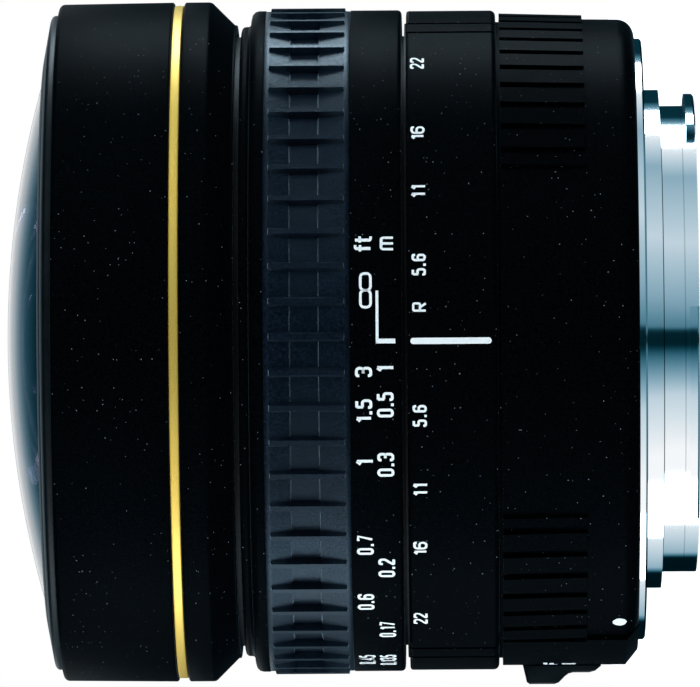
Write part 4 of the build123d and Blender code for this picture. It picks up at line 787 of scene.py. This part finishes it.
@dataclass
class FocusGroup:
    """Focus ring and its rubber grip."""

    rear_z: float = 25.8
    front_z: float = 43.05
    ring_r: float = 35.75
    nose_r: float = 34.05
    nose_z: float = 41.95
    nose_step: float = 0.3
    grip_z0: float = 31.3
    grip_z1: float = 40.4
    seat_r: float = 34.75
    grip_r: float = 35.68
    floor_r: float = 35.36
    pocket_r: float = 35.18
    seams: tuple[float, float] = (34.6, 37.6)
    seam_w: float = 0.3
    ribs: int = 60
    rib_r: float = 36.03
    rib_w: float = 1.0
    rib_shift: float = 0.45
    rib_flank: float = 0.22
    rib_margin: float = 0.6
    bore_r: float = 33.6
    land_r: float = 33.0
    lands: Pairs = ((33.0, 41.0), (33.6, 40.7), (33.6, 32.3), (33.0, 32.0), (33.0, 30.9),
                    (33.6, 30.6))
    edge_mm: float = 0.07
    edge_drop: float = 0.06
    grip_sharp: float = math.radians(50.0)

    def build(self, shop: Workshop) -> None:
        """Make the ring and the grip.

        Args:
            shop: maker of pieces.
        """
        shop.piece("focus_shell", self._shell(), Finish.satin_black, Body.FOCUS, ["focus_ring"])
        shop.piece("ribbed_grip", self._grip(), Finish.grip_rubber, Body.FOCUS, ["rubber_grip"],
                   sharp=self.grip_sharp)

    def _shell(self) -> Mesh:
        """Ring with the grip's seat, the nose and the running lands inside.

        Returns:
            The mesh.
        """
        step = self.nose_step
        return turned([
            (self.bore_r, self.rear_z, 0.05), (self.ring_r, self.rear_z, 0.45),
            (self.ring_r, self.grip_z0, 0.06), (self.seat_r, self.grip_z0, 0.0),
            (self.seat_r, self.grip_z1, 0.0), (self.ring_r, self.grip_z1, 0.06),
            (self.ring_r, self.nose_z, 0.8), (self.nose_r + step, self.nose_z, 0.1),
            (self.nose_r, self.nose_z + step, 0.1), (self.nose_r, self.front_z, 0.45),
            (self.land_r, self.front_z, 0.05),
        ] + [(radius, height, 0.0) for radius, height in self.lands])

    def _rib_ends(self) -> tuple[float, float]:
        """Heights at which the ribs start and end."""
        return self.grip_z0 + self.rib_margin, self.grip_z1 - self.rib_margin

    def _rib_angles(self) -> tuple[float, float]:
        """Half the width of a rib and the width of its flank in degrees."""
        per_mm = math.degrees(1.0 / self.rib_r)
        return self.rib_w / 2 * per_mm, self.rib_flank * per_mm

    def _floor(self, height: float) -> float:
        """Radius of the grip between its ribs: a sloping floor with a deeper middle third.

        Args:
            height: height on the grip.

        Returns:
            The radius.
        """
        low, high = self.seams
        rib_0, rib_1 = self._rib_ends()
        if height in self.seams:
            return self.pocket_r - self.seam_w
        if low < height < high:
            return self.pocket_r
        share = min((height - rib_0) / (low - rib_0), (rib_1 - height) / (rib_1 - high))
        return self.grip_r + (self.floor_r - self.grip_r) * max(0.0, share)

    def _rows(self) -> list[float]:
        """Heights of the grip's rows, close together at each step.

        Returns:
            The heights, rising.
        """
        low, high = self.seams
        rib_0, rib_1 = self._rib_ends()
        fine = self.edge_mm
        rows = [self.grip_z0 + fine, low + 1.0, high - 1.0, self.grip_z1 - fine]
        rows += [at + step for at in (rib_0, low, high, rib_1) for step in (-fine, 0.0, fine)]
        rows += [rib_0 + (low - rib_0) * share for share in (0.33, 0.66)]
        rows += [high + (rib_1 - high) * share for share in (0.33, 0.66)]
        return sorted(rows)

    def _columns(self) -> list[float]:
        """Azimuths of one rib's columns in degrees, close together on its flanks.

        Returns:
            The azimuths, rising.
        """
        pitch = 360.0 / self.ribs
        half, flank = self._rib_angles()
        right = [0.0, half * 0.5, half - flank, half - flank * 0.45, half, half + flank * 0.5]
        side = right + [half + (pitch / 2 - half) * share for share in (0.3, 0.5, 0.7, 0.85)]
        side.append(pitch / 2)
        return [-angle for angle in side[:0:-1]] + side

    def _rib_share(self, offset: float, height: float) -> float:
        """How far a rib stands up at an offset from its middle, from 0 to 1.

        Args:
            offset: degrees from the rib's middle.
            height: height on the grip.

        Returns:
            The share.
        """
        rib_0, rib_1 = self._rib_ends()
        if not rib_0 <= height <= rib_1:
            return 0.0
        half, flank = self._rib_angles()
        across = min(1.0, max(0.0, (half - abs(offset)) / flank))
        return across * across * (3.0 - 2.0 * across)

    def _grip(self) -> Mesh:
        """One rib's cell shaped from a grid and repeated round the axis.

        Returns:
            The mesh.
        """
        rows, columns = self._rows(), self._columns()
        mesh = bmesh.new()
        bmesh.ops.create_grid(mesh, x_segments=len(columns) - 1, y_segments=len(rows) + 3, size=0.5)
        heights = [self.grip_z0] * 2 + rows + [self.grip_z1] * 2
        last = len(heights) - 1
        shift = math.degrees(self.rib_shift / self.rib_r)
        for vert in mesh.verts:
            azimuth = columns[round((vert.co.x + 0.5) * (len(columns) - 1))]
            row = round((vert.co.y + 0.5) * last)
            height = heights[row]
            if row in (0, last):
                radius = self.seat_r
            else:
                floor = self._floor(height)
                radius = floor + (self.rib_r - floor) * self._rib_share(azimuth, height)
                radius -= self.edge_drop if row in (1, last - 1) else 0.0
            vert.co = spot(radius, azimuth + shift, height)
        bmesh.ops.spin(mesh, geom=mesh.verts[:] + mesh.edges[:] + mesh.faces[:],
                       steps=self.ribs, use_merge=False, use_duplicate=True, **FULL_TURN)
        bmesh.ops.remove_doubles(mesh, verts=mesh.verts[:], dist=MERGE_MM)
        rims = [edge for edge in mesh.edges if len(edge.link_faces) == 1]
        bmesh.ops.bridge_loops(mesh, edges=rims)
        bmesh.ops.recalc_face_normals(mesh, faces=mesh.faces[:])
        return mesh


@dataclass
class ModeLever:
    """Sliding lever of the focus mode switch, with its stem."""

    half_width: float = 2.45
    round_mm: float = 0.22
    base_r: float = 35.26
    outline: Pairs = (
        (13.15, 35.26), (12.75, 37.0), (12.45, 37.22), (9.75, 37.22), (9.3, 37.05), (8.65, 36.4),
        (8.25, 36.1), (7.75, 35.98), (6.0, 35.98), (5.35, 35.8), (4.7, 35.26),
    )
    stem: tuple[float, float, float] = (9.95, 12.05, 34.6)
    stem_overlap: float = 0.2
    stem_width: float = 1.2
    edge_reach: float = 0.1

    def build(self, shop: Workshop) -> None:
        """Make the lever.

        Args:
            shop: maker of pieces.
        """
        mesh = bmesh.new()
        face = mesh.faces.new([mesh.verts.new((-radius, -self.half_width, height))
                               for height, radius in self.outline])
        grown = bmesh.ops.extrude_face_region(mesh, geom=[face])["geom"]
        bmesh.ops.translate(mesh, vec=(0.0, 2 * self.half_width, 0.0),
                            verts=[item for item in grown if isinstance(item, bmesh.types.BMVert)])
        bmesh.ops.recalc_face_normals(mesh, faces=mesh.faces[:])
        rim = [edge for edge in mesh.edges
               if abs(edge.verts[0].co.y - edge.verts[1].co.y) < MERGE_MM
               and min(-vert.co.x for vert in edge.verts) > self.base_r - self.edge_reach
               and max(-vert.co.x for vert in edge.verts) > self.base_r + self.edge_reach]
        bmesh.ops.bevel(mesh, geom=rim, offset=self.round_mm, segments=EDGE_STEPS,
                        affect="EDGES", **BEVEL)
        low, high, inner = self.stem
        stem = bmesh.ops.create_cube(mesh, size=1.0)["verts"]
        reach = self.base_r - inner + self.stem_overlap
        centre = (-(self.base_r + inner) / 2, 0.0, (low + high) / 2)
        bmesh.ops.scale(mesh, vec=(reach, self.stem_width, high - low), verts=stem)
        bmesh.ops.translate(mesh, vec=centre, verts=stem)
        shop.piece("mode_lever", mesh, Finish.switch_black, Body.SWITCH, ["mode_switch"])


@dataclass(frozen=True)
class Glyph:
    """One engraved character as strokes in a box one unit high."""

    width: float
    strokes: tuple[Pairs, ...]
    corner: float = 0.42
    closed: bool = False


GLYPHS: dict[str, Glyph] = {
    "0": Glyph(0.44, (((0, 0), (1, 0), (1, 1), (0, 1)),), closed=True),
    "1": Glyph(0.19, (((1, 1), (1, 0)), ((0, 0.76), (0.9, 1))), 0.0),
    "2": Glyph(0.42, (((0, 0.78), (0, 1), (1, 1), (1, 0.62), (0, 0.08), (0, 0), (1, 0)),)),
    "3": Glyph(0.44, (((0, 0.8), (0, 1), (1, 1), (1, 0.53), (0.3, 0.53)),
                      ((0.3, 0.53), (1, 0.53), (1, 0), (0, 0), (0, 0.2)))),
    "4": Glyph(0.46, (((0.7, 0), (0.7, 1), (0, 0.28), (1.05, 0.28)),), 0.0),
    "5": Glyph(0.44, (((0.92, 1), (0, 1)), ((0.06, 1), (0.06, 0.56)),
                      ((0.06, 0.6), (1, 0.6), (1, 0), (0, 0), (0, 0.2))), 0.38),
    "6": Glyph(0.44, (((1, 0.8), (1, 1), (0, 1), (0, 0), (1, 0), (1, 0.58), (0, 0.58)),)),
    "7": Glyph(0.42, (((0, 1), (1, 1), (0.32, 0)),), 0.0),
    ".": Glyph(0.13, (((-0.3, 0), (1.3, 0)),), 0.0),
    "R": Glyph(0.5, (((0, 0), (0, 1), (1, 1), (1, 0.46), (0, 0.46)),
                     ((0.45, 0.46), (1, 0))), 0.2),
    "f": Glyph(0.4, (((1, 1), (0.45, 1), (0.45, 0)), ((0, 0.68), (1, 0.68))), 0.25),
    "t": Glyph(0.4, (((0.4, 1), (0.4, 0), (1, 0)), ((0, 0.7), (1, 0.7))), 0.25),
    "m": Glyph(0.9, (((0, 0), (0, 1), (0.5, 1), (0.5, 0)), ((0.4, 1), (1, 1), (1, 0))), 0.2),
    "F": Glyph(0.5, (((1, 1), (0, 1), (0, 0)), ((0, 0.5), (0.85, 0.5))), 0.0),
    "o": Glyph(1.35, (((0, 0), (1, 0), (1, 1), (0, 1)),), 0.4, True),
}


@dataclass(frozen=True)
class Mark:
    """One painted mark: its text or bar, centre and size on the ring, and its stroke."""

    text: str
    azimuth: float
    height: float
    width: float
    tall: float
    stroke: float = 0.3
    gap: float = 0.16


@dataclass
class Markings:
    """Painted scales: distance, depth of field, index line, mount dot and switch labels."""

    proud: float = 0.012
    skin: float = 0.02
    slice_mm: float = 0.4
    focus_r: float = 35.75
    scale_r: float = 35.65
    panel_r: float = 35.2
    edge_r: float = 34.58
    edge_z: float = 2.6
    edge_round: float = 1.8
    distance: tuple[Mark, ...] = (
        Mark("ft", -73.5, 29.85, 1.65, 1.9, 0.28, -0.06), Mark("3", -95.25, 29.85, 1.08, 1.8),
        Mark("1.5", -101.85, 29.85, 2.47, 1.78), Mark("1", -110.95, 29.85, 0.62, 1.78),
        Mark("0.7", -127.1, 29.85, 2.6, 1.78), Mark("0.6", -140.8, 29.87, 2.7, 1.78),
        Mark("0.45", -163.2, 29.88, 3.6, 1.78), Mark("m", -73.45, 27.38, 1.52, 1.4, 0.27),
        Mark("1", -94.75, 27.62, 0.58, 1.78), Mark("0.5", -100.85, 27.6, 2.7, 1.78),
        Mark("0.3", -111.4, 27.6, 2.7, 1.78), Mark("0.2", -132.2, 27.62, 2.7, 1.78),
        Mark("0.17", -149.4, 27.62, 3.3, 1.78), Mark("0.135", -163.6, 27.64, 4.2, 1.78),
        Mark("oo", -81.5, 29.6, 3.85, 1.34, 0.28, -0.28),
        Mark("", -86.0, 28.4, 5.53, 0.3), Mark("", -90.07, 27.52, 0.5, 2.04),
    )
    depth: tuple[Mark, ...] = (
        Mark("R", -84.38, 23.97, 1.0, 1.5, 0.24), Mark("5.6", -102.85, 24.0, 2.36, 1.5, 0.26),
        Mark("5.6", -77.15, 24.0, 2.36, 1.5, 0.26), Mark("11", -63.9, 24.03, 1.4, 1.5, 0.26, 0.34),
        Mark("11", -116.1, 24.03, 1.4, 1.5, 0.26, 0.34), Mark("16", -52.1, 24.05, 1.75, 1.5, 0.26),
        Mark("16", -127.95, 24.05, 1.75, 1.5, 0.26), Mark("22", -34.3, 24.1, 2.15, 1.5, 0.26),
        Mark("22", -146.0, 24.1, 2.15, 1.5, 0.26),
    )

    def build(self, shop: Workshop) -> None:
        """Make one piece of marks for each ring.

        Args:
            shop: maker of pieces.
        """
        self._marks(shop, "distance_scale", self.distance, lambda _: self.focus_r, Body.FOCUS)
        self._marks(shop, "depth_scale", self.depth, lambda _: self.scale_r, Body.BARREL)
        bar = Mark("", -90.1, 20.66, 0.66, 8.5)
        self._marks(shop, "index_line", (bar,), lambda _: self.scale_r, Body.BARREL, 0.3)
        labels = (Mark("F", -173.3, 10.2, 2.1, 1.6, 0.42), Mark("", -173.6, 8.22, 1.2, 1.5))
        self._marks(shop, "switch_labels", labels, lambda _: self.panel_r, Body.BARREL)
        dot = Mark("", -150.68, 2.92, 1.6, 1.52)
        self._marks(shop, "mount_dot", (dot,), self._dot_radius, Body.BARREL, 0.83)

    def _marks(self, shop: Workshop, name: str, marks: Sequence[Mark],
               radius: Callable[[float], float], body: Body, rounding: float = 0.0) -> None:
        """Wrap a group of marks round a ring as one piece.

        Args:
            shop: maker of pieces.
            name: name of the piece.
            marks: the marks.
            radius: radius of the ring at a height.
            body: body that the ring belongs to.
            rounding: corner radius of plain bars.
        """
        whole = bmesh.new()
        for mark in marks:
            flat = self._letters(mark) if mark.text else self._bar(mark, rounding)
            self._fit(flat, mark)
            self._slice(flat)
            for vert in flat.verts:
                rise = mark.height + vert.co.y
                turn = mark.azimuth + math.degrees(vert.co.x / radius(mark.height))
                outer = radius(rise) + self.proud - (0.0 if vert.co.z > -MERGE_MM else self.skin)
                vert.co = spot(outer, turn, rise)
            data = bpy.data.meshes.new("mark")
            flat.to_mesh(data)
            flat.free()
            whole.from_mesh(data)
            bpy.data.meshes.remove(data)
        bmesh.ops.remove_doubles(whole, verts=whole.verts[:], dist=MERGE_MM)
        bmesh.ops.recalc_face_normals(whole, faces=whole.faces[:])
        shop.piece(name, whole, Finish.mark_paint, body)

    @staticmethod
    def _letters(mark: Mark) -> Mesh:
        """Characters with strokes of one width, lying in the XY plane.

        Args:
            mark: mark with its text and size.

        Returns:
            The strokes, as thick as they are wide.
        """
        glyphs = [GLYPHS[letter] for letter in mark.text]
        tall = mark.tall - mark.stroke
        step = mark.stroke + mark.gap
        unit = (mark.width - mark.stroke - (len(glyphs) - 1) * step) / sum(
            glyph.width for glyph in glyphs)
        curve = bpy.data.curves.new("letters", "CURVE")
        curve.dimensions = "3D"
        curve.bevel_depth = mark.stroke / 2
        curve.bevel_resolution = 1
        curve.use_fill_caps = True
        left = 0.0
        for glyph in glyphs:
            wide = glyph.width * unit
            radius = glyph.corner * min(wide, tall)
            for stroke in glyph.strokes:
                points = [Vector((left + x * wide, y * tall, 0.0)) for x, y in stroke]
                path = rounded_path(points, radius, glyph.closed)
                spline = curve.splines.new("POLY")
                spline.points.add(len(path) - 1)
                for point, place in zip(spline.points, path):
                    point.co = (*place, 1.0)
                spline.use_cyclic_u = glyph.closed
            left += wide + step
        holder = placed("letters", curve)
        bpy.context.view_layer.update()
        data = bpy.data.meshes.new_from_object(holder)
        bpy.data.objects.remove(holder)
        bpy.data.curves.remove(curve)
        flat = bmesh.new()
        flat.from_mesh(data)
        bpy.data.meshes.remove(data)
        bmesh.ops.remove_doubles(flat, verts=flat.verts[:], dist=MERGE_MM)
        return flat

    @staticmethod
    def _bar(mark: Mark, rounding: float) -> Mesh:
        """Plain bar with rounded corners where asked.

        Args:
            mark: mark with its size.
            rounding: radius of its upright edges, or 0.

        Returns:
            The bar.
        """
        flat = bmesh.new()
        bmesh.ops.create_cube(flat, size=1.0)
        bmesh.ops.scale(flat, vec=(mark.width, mark.tall, 1.0), verts=flat.verts[:])
        if rounding:
            upright = [edge for edge in flat.edges
                       if abs(edge.verts[0].co.z - edge.verts[1].co.z) > 0.5]
            bmesh.ops.bevel(flat, geom=upright, offset=rounding, segments=ARC_STEPS,
                            affect="EDGES", **BEVEL)
        return flat

    @staticmethod
    def _fit(flat: Mesh, mark: Mark) -> None:
        """Scale a flat mark to its size and centre it.

        Args:
            flat: the flat mark.
            mark: the size that it takes.
        """
        low, high = extent(flat)
        size = high - low
        bmesh.ops.translate(flat, vec=-(low + high) / 2, verts=flat.verts[:])
        bmesh.ops.scale(flat, vec=(mark.width / size.x, mark.tall / size.y, 1.0),
                        verts=flat.verts[:])

    def _dot_radius(self, height: float) -> float:
        """Radius of the rear body under the mount dot, with its rounded rear edge."""
        drop = max(0.0, self.edge_z - height)
        return self.edge_r - self.edge_round + math.sqrt(self.edge_round ** 2 - drop ** 2)

    def _slice(self, flat: Mesh) -> None:
        """Cut a flat mark into narrow strips so that it can bend both ways on its ring.

        Args:
            flat: the flat mark.
        """
        lows, highs = extent(flat)
        for axis in range(2):
            low, high = lows[axis], highs[axis]
            cuts = int((high - low) / self.slice_mm)
            across = Vector((axis == 0, axis == 1, 0))
            for index in range(1, cuts + 1):
                place = across * (low + (high - low) * index / (cuts + 1))
                geom = flat.verts[:] + flat.edges[:] + flat.faces[:]
                bmesh.ops.bisect_plane(flat, geom=geom, plane_co=place, plane_no=across,
                                       dist=CUT_MM)


@dataclass(frozen=True)
class Lamp:
    """Square lamp: its angle from the camera round the lens, distance, size in metres and watts."""

    name: str
    angle: float
    distance: float
    size: float
    power: float
    mirrored: bool = False


@dataclass
class Studio:
    """Camera, lamps, world and floor."""

    distance: float = 1080.0
    pixels_per_mm: float = 9.235
    width_px: float = 700.0
    sensor_mm: float = 36.0
    eye_z: float = 20.0
    aim_z: float = 31.63
    drop: float = -0.27
    roll: float = 0.39
    floor_z: float = -5.7
    floor_size: float = 0.6
    floor_sides: int = 96
    shade: Colour = (0.0, 0.64, 1.0)
    lamps: tuple[Lamp, ...] = (
        Lamp("rim_high", 119.0, 0.8, 0.3, 2.6, True), Lamp("rim_low", -86.0, 0.8, 0.5, 2.2, True),
        Lamp("softbox_high", 60.0, 0.65, 0.5, 5.4),
        Lamp("softbox_low", -60.0, 0.65, 0.5, 5.8),
    )
    rim_colour: Colour = (0.68, 0.88, 1.0)
    floor_glow: float = 0.7
    boxes: Pairs = (
        (-138.0, 0.01), (-132.0, 0.55), (-112.0, 0.8), (-96.0, 1.0), (-56.0, 1.0), (-27.0, 0.75),
        (-9.0, 0.22), (-3.5, 0.02), (4.0, 0.02), (5.5, 0.28), (20.0, 0.5), (48.0, 0.76),
        (87.0, 0.52), (107.0, 0.9), (128.0, 1.0), (136.0, 0.3), (142.0, 0.04), (180.0, 0.04),
    )
    wall: Pairs = (
        (-180.0, 1.0), (-150.0, 1.0), (-125.0, 0.0), (125.0, 0.0), (150.0, 1.0), (180.0, 1.0),
    )
    fade: Pairs = (
        (-1.0, 0.3), (-0.3, 0.12), (-0.15, 0.5), (-0.08, 1.0), (0.16, 1.0), (0.28, 0.8),
        (0.41, 0.24), (0.5, 0.1), (1.0, 0.07),
    )

    def build(self) -> None:
        """Set up all that is around the lens."""
        self._camera()
        self._world()
        self._lamps()
        self._floor()
        bpy.context.scene.view_settings.view_transform = "Standard"

    def _camera(self) -> None:
        """Camera level with the mount end of the lens, turned so that the lens lies across."""
        data = bpy.data.cameras.new("camera")
        data.sensor_width = self.sensor_mm
        data.lens = self.pixels_per_mm * self.distance * self.sensor_mm / self.width_px
        data.clip_start = 0.05
        data.clip_end = 50.0
        camera = placed("camera", data)
        eye = Vector((self.drop, -self.distance, self.eye_z)) * MM
        aim = Vector((self.drop, 0.0, self.aim_z)) * MM
        back = (eye - aim).normalized()
        lean = math.radians(self.roll)
        up = Vector((math.cos(lean), 0.0, -math.sin(lean)))
        right = up.cross(back).normalized()
        up = back.cross(right).normalized()
        turn = Matrix((right, up, back)).transposed()
        camera.matrix_world = Matrix.Translation(eye) @ turn.to_4x4()
        bpy.context.scene.camera = camera

    def _world(self) -> None:
        """White to the camera, a white wall in gloss and glass, and soft boxes for the light."""
        sky = Shader(bpy.data.worlds.new("studio"))
        seen, glossy, through = (
            sky.node("ShaderNodeLightPath", output=f"Is {way} Ray")
            for way in ("Camera", "Glossy", "Transmission"))
        direction = sky.node("ShaderNodeTexCoord", output="Generated")
        along, away, high = (sky.node("ShaderNodeSeparateXYZ", {}, {0: direction}, axis)
                             for axis in "XYZ")
        round_lens = sky.node("ShaderNodeMath", {"operation": "ARCTAN2"}, {0: along, 1: 0.0 - away})
        place = round_lens * (0.5 / math.pi) + 0.5
        boxes, wall = (
            sky.ramp(place, [(angle / 360.0 + 0.5, level) for angle, level in levels])
            for levels in (self.boxes, self.wall))
        rise = high * 0.5 + 0.5
        above = sky.ramp(rise, ((0.525, 0.0), (0.555, 1.0)))
        fade = sky.ramp(rise, [(sine * 0.5 + 0.5, level) for sine, level in self.fade])
        mirrored = glossy.largest(through)
        level = boxes.largest(wall * above * mirrored) * fade
        studio = sky.mix(level, self.shade, WHITE)
        lit = sky.node("ShaderNodeVectorMath", {"operation": "SCALE"}, {0: studio, "Scale": level})
        colour = sky.mix(seen, lit, WHITE)
        bpy.context.scene.world = sky.close(
            sky.node("ShaderNodeBackground", {}, {"Color": colour, "Strength": 1.0}))

    def _lamps(self) -> None:
        """Square lamps level with the lens, turned to it."""
        aim = Vector((0.0, 0.0, self.aim_z)) * MM
        for lamp in self.lamps:
            data = bpy.data.lights.new(lamp.name, "AREA")
            data.size = lamp.size
            data.energy = lamp.power
            data.color = self.rim_colour if lamp.mirrored else WHITE
            holder = placed(lamp.name, data)
            holder.visible_glossy = lamp.mirrored
            holder.location = aim + spot(lamp.distance, lamp.angle - 90.0, 0.0)
            holder.rotation_mode = "QUATERNION"
            holder.rotation_quaternion = (aim - holder.location).to_track_quat("-Z", "Y")

    def _floor(self) -> None:
        """Pale floor under the mount end."""
        mesh = bmesh.new()
        bmesh.ops.create_circle(mesh, cap_ends=True, segments=self.floor_sides,
                                radius=self.floor_size,
                                matrix=Matrix.Translation((0, 0, self.floor_z * MM)))
        data = bpy.data.meshes.new("floor")
        mesh.to_mesh(data)
        mesh.free()
        shader = Shader.material("floor_white")
        dust = shader.mix(shader.noise(0.02, 3.0), (0.93, 0.93, 0.93), (0.9, 0.9, 0.9))
        paper = shader.node("ShaderNodeBsdfDiffuse", {}, {"Color": dust, "Roughness": 0.9})
        seen = shader.node("ShaderNodeLightPath", output="Is Camera Ray")
        glow = shader.node("ShaderNodeEmission", {}, {
            "Color": (*WHITE, 1.0), "Strength": seen * self.floor_glow})
        both = shader.node("ShaderNodeAddShader", {}, {0: paper, 1: glow})
        data.materials.append(shader.close(both))
        floor = placed("floor", data)
        floor.visible_glossy = False


def main() -> None:
    """Build the visual model."""
    logging.basicConfig(level=logging.INFO, format="%(message)s")
    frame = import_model()
    wardrobe = Wardrobe()
    wardrobe.dress_solids(frame)
    shop = Workshop(wardrobe)
    for group in (FrontGroup(), FocusGroup(), ModeLever(), Markings()):
        group.build(shop)
    Studio().build()


if __name__ == "__main__":
    main()
